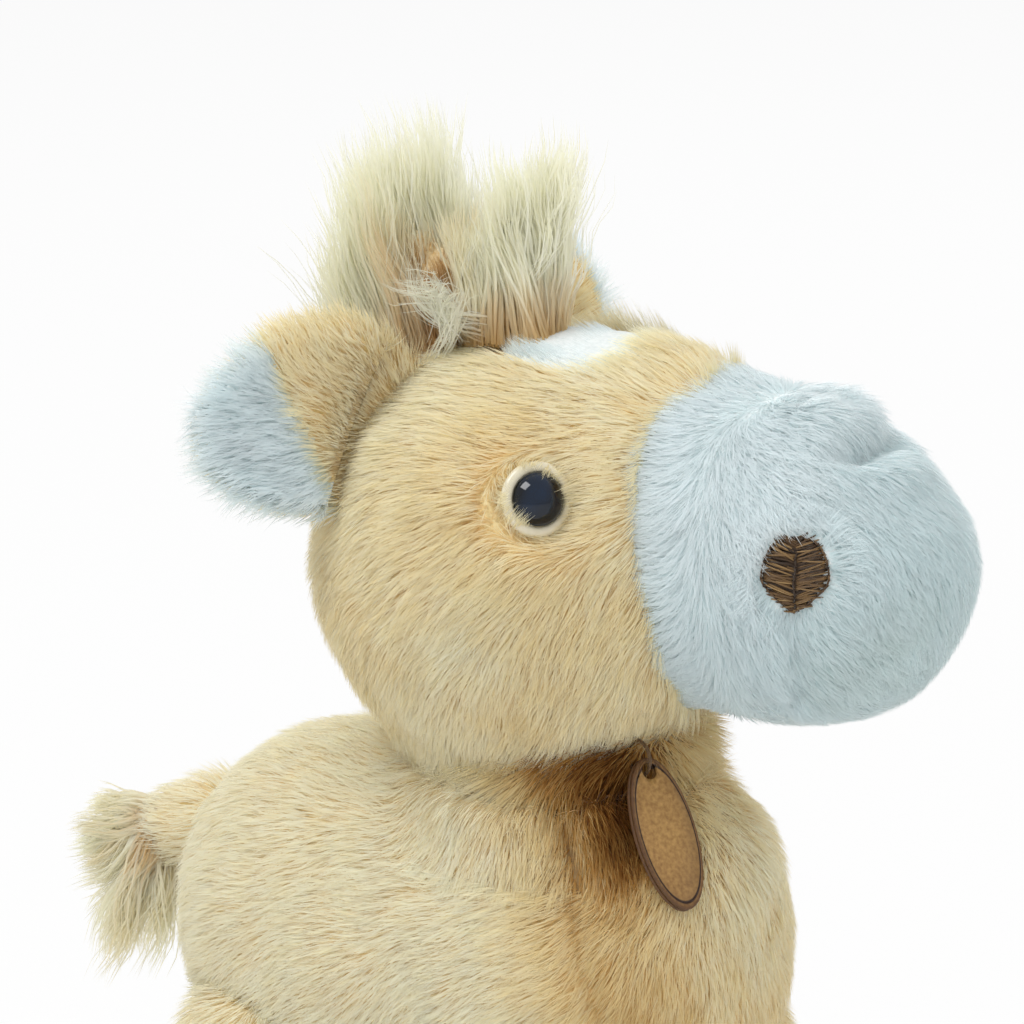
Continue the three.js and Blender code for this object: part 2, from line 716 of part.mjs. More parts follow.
// Swing tag
function makeTag() {
  const seatReach = neck.radius + tagSeat.standOff;
  const lowReach = torso.x + torso.halfLength - neck.x + tagSeat.lowClear;
  const tilt = Math.asin((lowReach - seatReach) / (2 * tag.halfLength - tag.margin)) / degree;
  const seat = new THREE.Vector3(seatReach, 0, cranium.lowZ + tagSeat.rise);
  seat.applyAxisAngle(zAxis, tagSeat.around * degree);
  seat.x += neck.x;
  const frame = new THREE.Matrix4().makeTranslation(seat.x, seat.y, seat.z)
    .multiply(new THREE.Matrix4().makeRotationZ(tagYaw * degree))
    .multiply(new THREE.Matrix4().makeRotationY(-tilt * degree));
  const outline = new THREE.Shape();
  const centre = tag.margin - tag.halfLength;
  outline.absellipse(0, centre, tag.halfWidth, tag.halfLength, 0, 2 * Math.PI);
  const hole = new THREE.Path();
  hole.absarc(0, 0, tag.hole, 0, 2 * Math.PI, true);
  outline.holes.push(hole);
  const settings = { depth: tag.leaf, bevelEnabled: false, curveSegments: outlineSteps };
  const sheet = new THREE.ExtrudeGeometry(outline, settings);
  sheet.rotateX(Math.PI / 2).rotateZ(Math.PI / 2);
  const plate = toSolid(sheet);
  const front = plate.translate([tag.parting / 2, 0, 0]);
  const behind = plate.translate([-tag.parting / 2 - tag.leaf, 0, 0]);
  addPart("tag_leaf_front", moved(front, frame), "#b07a45", 0.6);
  addPart("tag_leaf_back", moved(behind, frame), "#a06c3b", 0.6);
  const ring = new THREE.TorusGeometry(tagLoop.radius, tagLoop.thread, threadSides, latheSides);
  ring.rotateX(Math.PI / 2).translate(0, 0, tagLoop.radius).rotateY((tilt - tagLoop.lean) * degree);
  addPart("tag_loop", moved(toSolid(ring), frame), "#7a4f2a", 0.8);
}

makeTorso();
makeNeck();
makeHead();
makeEyes();
makeNostrils();
makeEars();
makeMane();
makeLegs();
makeTail();
makeTag();

// The origin is the centre of the whole toy's footprint.
const box = new THREE.Box3().setFromObject(model);
const middle = box.getCenter(new THREE.Vector3());
model.position.set(-middle.x, -middle.y, 0);

export default model;
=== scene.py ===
# %% [markdown]
# # A stuffed toy foal, dressed over its measured frame
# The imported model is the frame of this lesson. It fixes where every sewn panel, eye,
# leg and joint is, and how far each may move. Blender adds what a solid can't hold:
# soft rounded panels, plush grown strand by strand, stitches, leather and glossy plastic.
# Every piece is made in millimetres in the toy's own drawing and moved to metres once.

# %% Load the frame
import itertools
import math
from functools import partial

import bpy
import numpy as np
from mathutils import Matrix, Vector
from mathutils.bvhtree import BVHTree
from mathutils.kdtree import KDTree


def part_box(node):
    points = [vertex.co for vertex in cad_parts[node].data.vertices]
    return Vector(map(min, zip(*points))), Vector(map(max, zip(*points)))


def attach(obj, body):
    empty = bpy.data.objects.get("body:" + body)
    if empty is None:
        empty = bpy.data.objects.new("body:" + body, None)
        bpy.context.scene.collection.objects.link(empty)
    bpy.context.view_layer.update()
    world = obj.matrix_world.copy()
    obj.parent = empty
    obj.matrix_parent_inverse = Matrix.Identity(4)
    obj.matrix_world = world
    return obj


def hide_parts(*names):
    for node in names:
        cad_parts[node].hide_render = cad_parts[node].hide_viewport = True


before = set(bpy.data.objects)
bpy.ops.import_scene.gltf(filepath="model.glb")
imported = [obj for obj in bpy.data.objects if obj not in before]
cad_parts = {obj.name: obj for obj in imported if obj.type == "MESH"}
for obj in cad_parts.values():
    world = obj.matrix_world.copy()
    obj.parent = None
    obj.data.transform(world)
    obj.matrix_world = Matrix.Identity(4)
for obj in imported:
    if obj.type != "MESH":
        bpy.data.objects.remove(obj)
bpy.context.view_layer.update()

MM = 0.001

# %% [markdown]
# ## One drawing for every piece
# The frame's origin is the middle of the toy's footprint, and the drawing's origin is the
# middle of its body. The sole of one leg tells how far apart the two are, so nothing here
# goes stale when the frame's footprint changes.

# %% The drawing's place in the frame
LEG_X_FRONT, LEG_X_HIND, LEG_Y, LEG_PIVOT_Z = 38.0, -47.0, 26.5, 73.0

sole_low, sole_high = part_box("sole_front_right")
sole_middle = (np.array(sole_low) + np.array(sole_high)) / 2 / MM
SHIFT = np.array([sole_middle[0] - LEG_X_FRONT, sole_middle[1] + LEG_Y, 0.0])
print("drawing lies at", SHIFT.round(3), "mm in the frame")


def metres(points):
    """Millimetres of the toy's drawing as metres of the frame."""
    return (np.asarray(points, float) + SHIFT) * MM


def unit(vectors):
    """Each row with length one."""
    vectors = np.asarray(vectors, float)
    return vectors / np.maximum(np.linalg.norm(vectors, axis=-1, keepdims=True), 1e-9)


def length_of(vectors):
    """The length of each row."""
    return np.linalg.norm(vectors, axis=-1)


# %% [markdown]
# ## The camera
# The photograph looks down a little, from ahead of the toy's right side. A long lens set
# well back gives its flat perspective, and the width of the view at the toy fixes the size
# of everything in the picture.

# %% Camera
def add_object(name, data):
    """A new object in the scene."""
    thing = bpy.data.objects.new(name, data)
    bpy.context.collection.objects.link(thing)
    return thing


AZIMUTH, ELEVATION = math.radians(28), math.radians(14)
VIEW_WIDTH, VIEW_DISTANCE = 225.28, 1250.0
AIM_HEIGHT, AIM_RIGHT, AIM_UP = 190.0, 2.64, 7.92

toward = np.array([
    math.sin(AZIMUTH) * math.cos(ELEVATION),
    -math.cos(AZIMUTH) * math.cos(ELEVATION),
    math.sin(ELEVATION),
])
to_right = np.array([math.cos(AZIMUTH), math.sin(AZIMUTH), 0.0])
to_top = np.cross(toward, to_right)
aim = np.array([0.0, 0.0, AIM_HEIGHT]) + AIM_RIGHT * to_right + AIM_UP * to_top

camera_data = bpy.data.cameras.new("camera")
camera_data.angle = 2 * math.atan(VIEW_WIDTH / 2 / VIEW_DISTANCE)
camera_data.clip_end = 20
camera = add_object("camera", camera_data)
turn = Matrix((to_right, to_top, toward)).transposed().to_4x4()
camera.matrix_world = Matrix.Translation(metres(aim + VIEW_DISTANCE * toward)) @ turn
bpy.context.scene.camera = camera
bpy.context.scene.view_settings.view_transform = "Standard"
print("view angle", round(math.degrees(camera_data.angle), 2))

# %% [markdown]
# ## Colours and nodes
# Colours are given as sRGB values of the cloth, and one function turns them to the linear
# light that shaders work in. One more adds any node with its settings and links. A
# socket is named by its title, or by its number where two share a title.

# %% Helpers for materials
def linear(hex_colour):
    """An sRGB hex colour as linear red, green, blue and alpha."""
    values = [int(hex_colour[i:i + 2], 16) / 255 for i in (1, 3, 5)]
    return [v / 12.92 if v <= 0.04045 else ((v + 0.055) / 1.055) ** 2.4 for v in values] + [1.0]


def add_node(tree, kind, settings=None, sockets=None):
    """A new node, with its properties set and each socket given a value or a link."""
    node = tree.nodes.new("ShaderNode" + kind)
    for name, value in (settings or {}).items():
        setattr(node, name, value)
    for name, value in (sockets or {}).items():
        if isinstance(value, bpy.types.NodeSocket):
            tree.links.new(value, node.inputs[name])
        else:
            node.inputs[name].default_value = value
    return node


def set_ramp(ramp_node, stops):
    """Gives a colour ramp its stops, as (place, hex colour) pairs."""
    ramp = ramp_node.color_ramp
    while len(ramp.elements) < len(stops):
        ramp.elements.new(0.5)
    for element, (place, colour) in zip(ramp.elements, stops):
        element.position = place
        element.color = linear(colour)
    return ramp_node


def new_material(name, **fixed):
    """A material with one Principled shader, whose fixed sockets are set on the shader."""
    material = bpy.data.materials.new(name)
    material.use_nodes = True
    shader = material.node_tree.nodes["Principled BSDF"]
    for socket, value in fixed.items():
        shader.inputs[socket.replace("_", " ")].default_value = value
    return material, material.node_tree, shader


# %% [markdown]
# ## The studio
# The toy stands on a white floor in white surroundings. The camera sees them white, while
# the light on the plush stays at a plain level, so its colours render about as they are
# written. A big soft lamp at the upper left gives the eye its highlight, and two weaker
# ones open the shadows. The fill stays out of reflections, so the dark dome of the eye
# shows one light.

# %% Floor and surroundings
AMBIENT, FLOOR_GLOW = 0.65, 0.85
FLOOR_RADIUS, FLOOR_SIDES = 9.0, 96


def full_turn(sides):
    """Angles that go once round, without the first again at the end."""
    return np.linspace(0, 2 * math.pi, sides, endpoint=False)


def seen_directly(tree):
    """1 for what the camera sees, also through something clear, and 0 for light."""
    path = add_node(tree, "LightPath")
    either = add_node(tree, "Math", {"operation": "MAXIMUM"}, {
        0: path.outputs["Is Camera Ray"], 1: path.outputs["Is Transmission Ray"]})
    return either.outputs[0]


world = bpy.data.worlds.new("studio")
bpy.context.scene.world = world
world.use_nodes = True
tree = world.node_tree
level = add_node(tree, "MapRange", sockets={
    "Value": seen_directly(tree), "To Min": AMBIENT, "To Max": 1.0})
tree.links.new(level.outputs["Result"], tree.nodes["Background"].inputs["Strength"])
tree.nodes["Background"].inputs["Color"].default_value = (1, 1, 1, 1)

floor_mesh = bpy.data.meshes.new("floor")
angles = full_turn(FLOOR_SIDES)
rim = np.stack([np.cos(angles), np.sin(angles), np.zeros(FLOOR_SIDES)], 1) * FLOOR_RADIUS
floor_mesh.from_pydata(rim.tolist(), [], [list(range(FLOOR_SIDES))])
floor = add_object("floor", floor_mesh)
floor_paint, tree, shader = new_material("floor_matt_paint", Roughness=0.9)
shader.inputs["Base Color"].default_value = linear("#f2f2f2")
glow = add_node(tree, "Emission", sockets={"Color": (1, 1, 1, 1), "Strength": 1.0})
share = add_node(tree, "Math", {"operation": "MULTIPLY"}, {
    0: seen_directly(tree), 1: FLOOR_GLOW})
mix = add_node(tree, "MixShader", sockets={
    0: share.outputs[0], 1: shader.outputs[0], 2: glow.outputs[0]})
tree.links.new(mix.outputs[0], tree.nodes["Material Output"].inputs["Surface"])
floor_mesh.materials.append(floor_paint)
print("floor", 2 * FLOOR_RADIUS, "m across")


# %% Lamps
def soft_lamp(name, place, size, watts):
    """A square lamp at a place in metres that faces the toy's head."""
    data = bpy.data.lights.new(name, "AREA")
    data.size, data.energy = size, watts
    lamp = add_object(name, data)
    lamp.location = place
    aim_at = Vector((0.0, 0.0, 0.15)) - lamp.location
    lamp.rotation_euler = aim_at.to_track_quat("-Z", "Y").to_euler()
    return lamp


soft_lamp("key_softbox", (-0.5, -0.8, 1.75), 0.8, 16.0)
fill = soft_lamp("fill_softbox", (1.5, -0.7, 0.7), 1.0, 3.5)
fill.visible_glossy = False
soft_lamp("back_softbox", (-0.4, 1.5, 1.3), 1.0, 5.0)
print("lamps", [lamp.name for lamp in bpy.data.lights])

# %% [markdown]
# ## Forms from rings
# A stuffed panel swells between its seams, so most forms here are lofts: rings of points
# along an axis, closed at both ends. The same formulas made the frame's coarser solids,
# which keeps every form in the space that the frame holds for it.

# %% Lofts and turned forms
def ring_faces(count, sides, closed=False):
    """Faces between rings that follow each other, and from last to first if closed."""
    at = np.arange(count * sides).reshape(count, sides)
    over, after = np.roll(at, -1, axis=0), np.roll(at, -1, axis=1)
    quads = np.stack([at, after, np.roll(over, -1, axis=1), over], -1)
    return (quads if closed else quads[:-1]).reshape(-1, 4).tolist()


def loft(rings, start, end):
    """Points and faces of a closed form through rings of points, from end to end."""
    rings = np.asarray(rings, float)
    count, sides = rings.shape[:2]
    points = np.vstack([rings.reshape(-1, 3), [start, end]])
    pole, top = count * sides, (count - 1) * sides
    first = [[pole, (i + 1) % sides, i] for i in range(sides)]
    last = [[pole + 1, top + i, top + (i + 1) % sides] for i in range(sides)]
    return points, ring_faces(count, sides) + first + last


def lathe(profile, centre, axis=(0, 0, 1), sides=64):
    """A turned form from (radius, height) pairs, about an axis through a centre."""
    profile = np.asarray(profile, float)
    axis = unit(axis)
    helper = np.array([0, 0, 1.0]) if abs(axis[2]) < 0.9 else np.array([1.0, 0, 0])
    across = unit(np.cross(helper, axis))
    beside = np.cross(axis, across)
    angles = full_turn(sides)
    spokes = np.cos(angles)[:, None] * across + np.sin(angles)[:, None] * beside
    rings = [centre + height * axis + radius * spokes for radius, height in profile[1:-1]]
    return loft(rings, centre + profile[0][1] * axis, centre + profile[-1][1] * axis)


def ball_arc(radius, count, turn=math.pi / 2):
    """(radius, height) pairs on a ball, from its lowest point up through a turn."""
    return [(radius * math.sin(a), -radius * math.cos(a)) for a in np.linspace(0, turn, count)]


# %% [markdown]
# ## From points to pieces
# A form becomes a mesh object here. Modifiers are applied at once, because strands are
# planted on the mesh that shows. A cutter takes its form out of a piece and is thrown away.

# %% Pieces and their surfaces
def new_piece(name, points, faces, material=None):
    """A mesh object from millimetre points of the drawing."""
    mesh = bpy.data.meshes.new(name)
    mesh.from_pydata(metres(points).tolist(), [], [list(map(int, face)) for face in faces])
    mesh.validate()
    mesh.polygons.foreach_set("use_smooth", [True] * len(mesh.polygons))
    piece = add_object(name, mesh)
    if material:
        mesh.materials.append(material)
    return piece


def cover(piece, *materials):
    """Gives a piece these materials and no others."""
    piece.data.materials.clear()
    for material in materials:
        piece.data.materials.append(material)


def settle(piece):
    """Applies a piece's modifiers, so that its mesh is what shows."""
    shown = piece.evaluated_get(bpy.context.evaluated_depsgraph_get())
    mesh = bpy.data.meshes.new_from_object(shown)
    piece.modifiers.clear()
    old = piece.data
    piece.data = mesh
    bpy.data.meshes.remove(old)
    mesh.polygons.foreach_set("use_smooth", [True] * len(mesh.polygons))
    return piece


def add_modifier(piece, kind, **settings):
    """Puts a modifier with these settings on a piece."""
    modifier = piece.modifiers.new(kind.lower(), kind)
    for name, value in settings.items():
        setattr(modifier, name, value)


def carve(piece, cutter):
    """Takes a cutter's form out of a piece, and throws the cutter away."""
    add_modifier(piece, "BOOLEAN", operation="DIFFERENCE", object=cutter, solver="MANIFOLD")
    settle(piece)
    bpy.data.objects.remove(cutter)


def read_rows(rows, field, kind=float):
    """A field of three values from each row of a mesh's table."""
    values = np.empty(len(rows) * 3, kind)
    rows.foreach_get(field, values)
    return values.reshape(-1, 3)


def surface(piece):
    """A piece's points and normals in the drawing, and its triangles."""
    mesh = piece.data
    mesh.calc_loop_triangles()
    points = read_rows(mesh.vertices, "co") / MM - SHIFT
    normals = read_rows(mesh.vertex_normals, "vector")
    return points, normals, read_rows(mesh.loop_triangles, "vertices", int)


def reshape_piece(piece, points):
    """Moves a piece's points to new places in the drawing."""
    piece.data.vertices.foreach_set("co", metres(points).ravel())
    piece.data.update()


# %% [markdown]
# ## Soft unevenness
# Nothing sewn is exact. A few long sine waves in random directions give a value that drifts
# over a surface without a seam. It moves skins, combing and tones alike.

# %% Drifting values and soft steps
def wander(points, size, seed, waves=6):
    """Smooth random values, mostly within -1 and 1, in patches of about that many mm."""
    rng = np.random.default_rng(seed)
    total = np.zeros(len(points))
    for _ in range(waves):
        way = unit(rng.normal(size=3))
        pitch = size * rng.uniform(0.8, 1.8)
        total += np.sin(points @ way * 2 * math.pi / pitch + rng.uniform(0, 2 * math.pi))
    return total / math.sqrt(waves)


def smoothstep(values, low, high):
    """0 below the lower limit, 1 above the higher one, and an easy rise between them."""
    share = np.clip((values - low) / (high - low), 0, 1)
    return share * share * (3 - 2 * share)


def bell(values, width):
    """1 where the values are nought, falling away on both sides over about a width."""
    return np.exp(-(values / width) ** 2)


# %% [markdown]
# ## Plush, strand by strand
# Plush is a knitted backing with cut pile, about 8 mm long here and combed flat. Particle
# hair isn't mesh, and a bump map leaves a hard outline. So each strand is a thin tapered
# ribbon of real mesh. It leaves the skin steeply at a random place, bends over the way the
# pile is combed, and gathers with its neighbours into small locks.

# %% Roots and centre lines
def scatter(piece, per_mm2, seed, keep=None):
    """Random roots over a piece's surface: places and normals, thinned by keep."""
    rng = np.random.default_rng(seed)
    points, normals, triangles = surface(piece)
    a, b, c = (points[triangles[:, i]] for i in range(3))
    areas = length_of(np.cross(b - a, c - a)) / 2
    count = int(areas.sum() * per_mm2)
    pick = rng.choice(len(triangles), count, p=areas / areas.sum())
    u, v = rng.random((2, count))
    flip = u + v > 1
    u[flip], v[flip] = 1 - u[flip], 1 - v[flip]
    w = 1 - u - v
    roots = w[:, None] * a[pick] + u[:, None] * b[pick] + v[:, None] * c[pick]
    corner = normals[triangles[pick]]
    out = unit(w[:, None] * corner[:, 0] + u[:, None] * corner[:, 1] + v[:, None] * corner[:, 2])
    if keep is not None:
        chosen = rng.random(count) < keep(roots, out)
        roots, out = roots[chosen], out[chosen]
    return roots, out


def along_skin(directions, out):
    """Directions laid flat on the skin."""
    return unit(directions - (directions * out).sum(1, keepdims=True) * out)


def bend_lines(roots, out, flow, length, stand, rest, steps):
    """Centre lines that rise at one angle from the skin and end at another, in degrees."""
    lines = [roots]
    for step in range(steps):
        share = (step + 0.5) / steps
        angle = np.radians(stand + (rest - stand) * share)
        way = flow * np.cos(angle)[:, None] + out * np.sin(angle)[:, None]
        lines.append(lines[-1] + way * (length / steps)[:, None])
    return np.stack(lines, 1)


GATHER_EASE = 1.4


def gather(lines, spacing, pull, seed):
    """Draws strands to the nearest leading strand, more towards their ends, as locks."""
    rng = np.random.default_rng(seed)
    count = len(lines)
    roots = lines[:, 0]
    leaders = rng.choice(count, max(1, count // spacing), replace=False)
    tree = KDTree(len(leaders))
    for i, leader in enumerate(leaders):
        tree.insert(roots[leader], i)
    tree.balance()
    nearest = leaders[[tree.find(root)[1] for root in roots]]
    shares = np.linspace(0, 1, lines.shape[1]) ** GATHER_EASE
    strength = pull * rng.uniform(0.5, 1.1, count)
    lines += (lines[nearest] - lines) * (strength[:, None] * shares)[:, :, None]
    return lines


# %% [markdown]
# ## Ribbons
# Thousands of strands are one mesh, whose corners and faces are worked out for all of them
# at once. A ribbon is a row of four-sided faces that ends in a triangle. It is shaded like
# the skin under it, as a soft round fibre would be. Its own map holds its tone across and
# root to tip upwards.

# %% Ribbons
TIP_THINNING, TIP_EASE = 0.75, 1.6
TONE_LOW, TONE_HIGH, TONE_SPREAD = 0.02, 0.98, 0.006
MAP_LOW, MAP_HEIGHT = 0.02, 0.96


def ribbon_sides(lines, out, width, seed, roll):
    """From centre line to edge at every station of a ribbon, and the way its face looks."""
    rng = np.random.default_rng(seed)
    count, stations = lines.shape[:2]
    tangents = unit(np.gradient(lines, axis=1))
    flat = unit(np.cross(tangents, out[:, None, :]))
    lift = np.cross(flat, tangents)
    angle = np.radians(rng.normal(0, roll, count))[:, None, None]
    across = flat * np.cos(angle) + lift * np.sin(angle)
    face = unit(np.cross(across, tangents))
    face *= np.where((face * out[:, None, :]).sum(-1, keepdims=True) < 0, -1, 1)
    taper = 1 - (np.arange(stations) / (stations - 1)) ** TIP_EASE * TIP_THINNING
    return across * (width[:, None] * taper / 2)[:, :, None], face


def ribbon_corners(lower, upper, tip):
    """The values of a ribbon's two edges in turn from its root, and one value at its tip."""
    steps = lower.shape[1] - 1
    values = np.empty((len(lower), 2 * steps + 1, 3))
    values[:, 0:2 * steps:2] = lower[:, :steps]
    values[:, 1:2 * steps:2] = upper[:, :steps]
    values[:, -1] = tip
    return values


def ribbon_faces(count, steps):
    """Corner numbers of every face, and where each face starts and how many it has."""
    base = (np.arange(count) * (2 * steps + 1))[:, None]
    step = 2 * np.arange(steps - 1)
    quads = np.stack([step, step + 1, step + 3, step + 2], 1).reshape(-1)
    tip = np.array([2 * steps - 2, 2 * steps - 1, 2 * steps])
    totals = np.tile(np.array([4] * (steps - 1) + [3]), count)
    starts = np.concatenate([[0], np.cumsum(totals)[:-1]])
    return np.hstack([base + quads, base + tip]), starts, totals


def set_map(mesh, places):
    """Gives a mesh its own map, from one (across, up) place for each of its points."""
    corner = np.empty(len(mesh.loops), np.int32)
    mesh.loops.foreach_get("vertex_index", corner)
    layer = mesh.uv_layers.new(name="OFBake")
    layer.data.foreach_set("uv", places[corner].ravel())


def ribbons(name, lines, out, width, tones, material, seed, soften=0.95, roll=25):
    """One mesh of tapered ribbons along centre lines, each with its tone in its map."""
    steps = lines.shape[1] - 1
    half, face = ribbon_sides(lines, out, width, seed, roll)
    shade = unit(face * (1 - soften) + out[:, None, :] * soften)
    points = ribbon_corners(lines - half, lines + half, lines[:, -1])
    normals = ribbon_corners(shade, shade, shade[:, -1])
    loops, starts, totals = ribbon_faces(len(lines), steps)

    mesh = bpy.data.meshes.new(name)
    mesh.vertices.add(points.shape[0] * points.shape[1])
    mesh.vertices.foreach_set("co", metres(points.reshape(-1, 3)).ravel())
    mesh.loops.add(loops.size)
    mesh.loops.foreach_set("vertex_index", loops.ravel().astype(np.int32))
    mesh.polygons.add(len(totals))
    mesh.polygons.foreach_set("loop_start", starts.astype(np.int32))
    mesh.polygons.foreach_set("loop_total", totals.astype(np.int32))
    mesh.polygons.foreach_set("use_smooth", np.ones(len(totals), bool))

    own_tone = np.clip(tones, TONE_LOW, TONE_HIGH)[:, None]
    across = np.hstack([own_tone + np.tile([-TONE_SPREAD, TONE_SPREAD], steps), own_tone])
    height = np.append(np.repeat(np.arange(steps) / steps, 2), 1.0) * MAP_HEIGHT + MAP_LOW
    set_map(mesh, np.stack([across, np.broadcast_to(height, across.shape)], -1).reshape(-1, 2))
    mesh.update(calc_edges=True)
    mesh.normals_split_custom_set_from_vertices(normals.reshape(-1, 3).tolist())
    piece = add_object(name, mesh)
    mesh.materials.append(material)
    print(name, len(lines), "strands", len(totals), "faces")
    return piece


# %% [markdown]
# ## Plush materials
# The pile is polyester fibre, cut and brushed. It scatters light softly, is nearly matt,
# and has a faint sheen seen edge on. A fibre is deeper in tone at its root and palest near
# its tip. At the root of short pile that is painted shade, for the little light that gets
# down there, and on long pile partly its own brown. The strand's own map drives both.

# %% Pile
FIBRE_LETS_THROUGH, LONG_FIBRE_LETS_THROUGH = 0.52, 0.6
# The deepest tan stops serve the painted shade in the fold under the jaw.
TAN_TONES = [(0.0, "#5a300c"), (0.12, "#a06c2c"), (0.28, "#d6ad66"), (0.45, "#f5e4b2"),
             (0.7, "#fef6d6"), (1.0, "#fffff0")]
WHITE_TONES = [(0.0, "#d6e5e3"), (0.3, "#edf6f5"), (0.6, "#f4fcfd"), (1.0, "#f9feff")]
CREAM_TONES = [(0.0, "#9c6f3c"), (0.2, "#cfae7c"), (0.5, "#f7eed6"), (0.75, "#faf9ea"),
               (1.0, "#fefef5")]


def own_map(tree):
    """A piece's own map, split: across it is X, and up it is Y."""
    place = add_node(tree, "UVMap", {"uv_map": "OFBake"})
    return add_node(tree, "SeparateXYZ", sockets={"Vector": place.outputs["UV"]}).outputs


def mapped(name, tones, roughness, **fixed):
    """A fibre whose tone runs across its own map, and whose roughness runs up it."""
    material, tree, shader = new_material(name, **fixed)
    strand = own_map(tree)
    tone = add_node(tree, "ValToRGB", sockets={"Fac": strand["X"]})
    set_ramp(tone, tones)
    tree.links.new(tone.outputs["Color"], shader.inputs["Base Color"])
    rough = add_node(tree, "MapRange", sockets={
        "Value": strand["Y"], "To Min": roughness[0], "To Max": roughness[1]})
    tree.links.new(rough.outputs["Result"], shader.inputs["Roughness"])
    return material, tree, shader, strand["Y"], tone.outputs["Color"]


def pile_material(name, tones, root, tip, sheen=0.4, through=LONG_FIBRE_LETS_THROUGH):
    """Brushed polyester pile with painted shade at its root, that lets some light through."""
    material, tree, shader, up, tone = mapped(
        name, tones, (0.95, 0.7), Sheen_Weight=sheen, Sheen_Roughness=0.5,
        Specular_IOR_Level=0.25, IOR=1.5)
    # Painted shade: the root's tone darkens the fibre's colour near the skin.
    rise = add_node(tree, "ValToRGB", sockets={"Fac": up})
    set_ramp(rise, [(0.0, root), (0.45, "#ffffff"), (1.0, tip)])
    blend = add_node(tree, "Mix", {"data_type": "RGBA", "blend_type": "MULTIPLY"}, {
        "Factor": 1.0, 6: tone, 7: rise.outputs["Color"]})
    tree.links.new(blend.outputs[2], shader.inputs["Base Color"])
    backlit = add_node(tree, "BsdfTranslucent", sockets={"Color": blend.outputs[2]})
    both = add_node(tree, "MixShader", sockets={
        0: through, 1: shader.outputs[0], 2: backlit.outputs[0]})
    tree.links.new(both.outputs[0], tree.nodes["Material Output"].inputs["Surface"])
    return material


tan_pile = pile_material("tan_polyester_pile", TAN_TONES, "#f6e4c6", "#ffffff", sheen=0.2,
                         through=FIBRE_LETS_THROUGH)
white_pile = pile_material("white_polyester_pile", WHITE_TONES, "#f4f8f8", "#ffffff")
cream_pile = pile_material("cream_long_pile", CREAM_TONES, "#e6c893", "#fefefa")

# %% [markdown]
# ## Finishes that go right through
# Cloth backing, suede, leather and moulded plastic vary a little in soft patches. A noise
# through the solid, with patches of a real size in millimetres, drives the tone, and the
# roughness and a fine relief where they vary too. The knitted backing is browner in the
# deep fold at the chest, because hardly any light gets in there.

# %% Mottled finishes, and the knitted backing
def mottled(name, size, detail, tones, roughness=None, relief=None, **fixed):
    """A finish whose tone varies in patches of a size in mm. Relief is a depth and strength."""
    material, tree, shader = new_material(name, **fixed)
    place = add_node(tree, "TexCoord")
    patches = add_node(tree, "TexNoise", sockets={
        "Vector": place.outputs["Object"], "Scale": 1 / (size * MM), "Detail": detail})
    tone = add_node(tree, "ValToRGB", sockets={"Fac": patches.outputs["Fac"]})
    set_ramp(tone, tones)
    tree.links.new(tone.outputs["Color"], shader.inputs["Base Color"])
    if roughness:
        rough = add_node(tree, "MapRange", sockets={
            "Value": patches.outputs["Fac"], "To Min": roughness[0], "To Max": roughness[1]})
        tree.links.new(rough.outputs["Result"], shader.inputs["Roughness"])
    if relief:
        bump = add_node(tree, "Bump", sockets={
            "Height": patches.outputs["Fac"], "Distance": relief[0] * MM, "Strength": relief[1]})
        tree.links.new(bump.outputs["Normal"], shader.inputs["Normal"])
    return material, tree, shader, place.outputs["Object"], tone.outputs["Color"]


def backing_material(name, deep, light, fold_shade=None):
    """Knitted backing in two tones. Round a fold it is browner, as painted shade where little light gets
    in.
    """
    material, tree, shader, place, tone = mottled(
        name, 1.0, 3.0, [(0.3, deep), (0.7, light)], relief=(0.4, 0.6), Roughness=0.95,
        Sheen_Weight=0.2)
    if fold_shade is not None:
        # Painted shade: the backing turns brown towards the fold, where little light gets down.
        away = add_node(tree, "VectorMath", {"operation": "DISTANCE"}, {
            0: place, 1: metres(fold_shade)})
        share = add_node(tree, "MapRange", sockets={
            "Value": away.outputs["Value"], "From Min": 12 * MM, "From Max": 42 * MM})
        shaded = add_node(tree, "Mix", {"data_type": "RGBA"}, {
            "Factor": share.outputs["Result"], 6: linear("#7a5428"), 7: tone})
        tree.links.new(shaded.outputs[2], shader.inputs["Base Color"])
    return material


SHADE_PLACE = np.array([44.0, -22.0, 143.0])
tan_backing = backing_material("tan_knitted_backing", "#dcc48c", "#eedcab")
# The body's backing carries the painted shade round the fold under the jaw.
body_backing = backing_material("tan_backing_painted_shade", "#dcc48c", "#eedcab", fold_shade=SHADE_PLACE)
white_backing = backing_material("white_knitted_backing", "#dde5e5", "#eef3f3")
cream_backing = backing_material("cream_knitted_backing", "#b39a6c", "#d3c298")
underfur = backing_material("cream_matted_underfur", "#cfae78", "#ecdab4")

# %% [markdown]
# ## The head
# The head is a ball for the cranium that tapers into an egg for the muzzle, up five degrees
# from level. The bridge of the nose is the straight line that touches both. The muzzle is a
# panel of its own, lofted from the same sections, from a seam that wanders round the face.

# %% Head sections
CRANIUM = np.array([10.0, 0.0, 190.0])
CRANIUM_RADIUS = 47.0
MUZZLE_ALONG, MUZZLE_HALF_WIDTH, MUZZLE_HALF_HEIGHT = 66.0, 34.0, 33.0
MUZZLE_FRONT, MUZZLE_BACK = 34.0, 60.0
JOIN_POWER = 6
NOSE_PITCH = math.radians(5)
nose_axis = np.array([math.cos(NOSE_PITCH), 0.0, math.sin(NOSE_PITCH)])
crown_axis = np.array([-math.sin(NOSE_PITCH), 0.0, math.cos(NOSE_PITCH)])
side_axis = np.array([0.0, 1.0, 0.0])
HEAD_AXES = np.array([nose_axis, side_axis, crown_axis])


def from_head(local):
    """Lengths along the nose, to the side and up, as points of the drawing."""
    return np.asarray(local) @ HEAD_AXES + CRANIUM


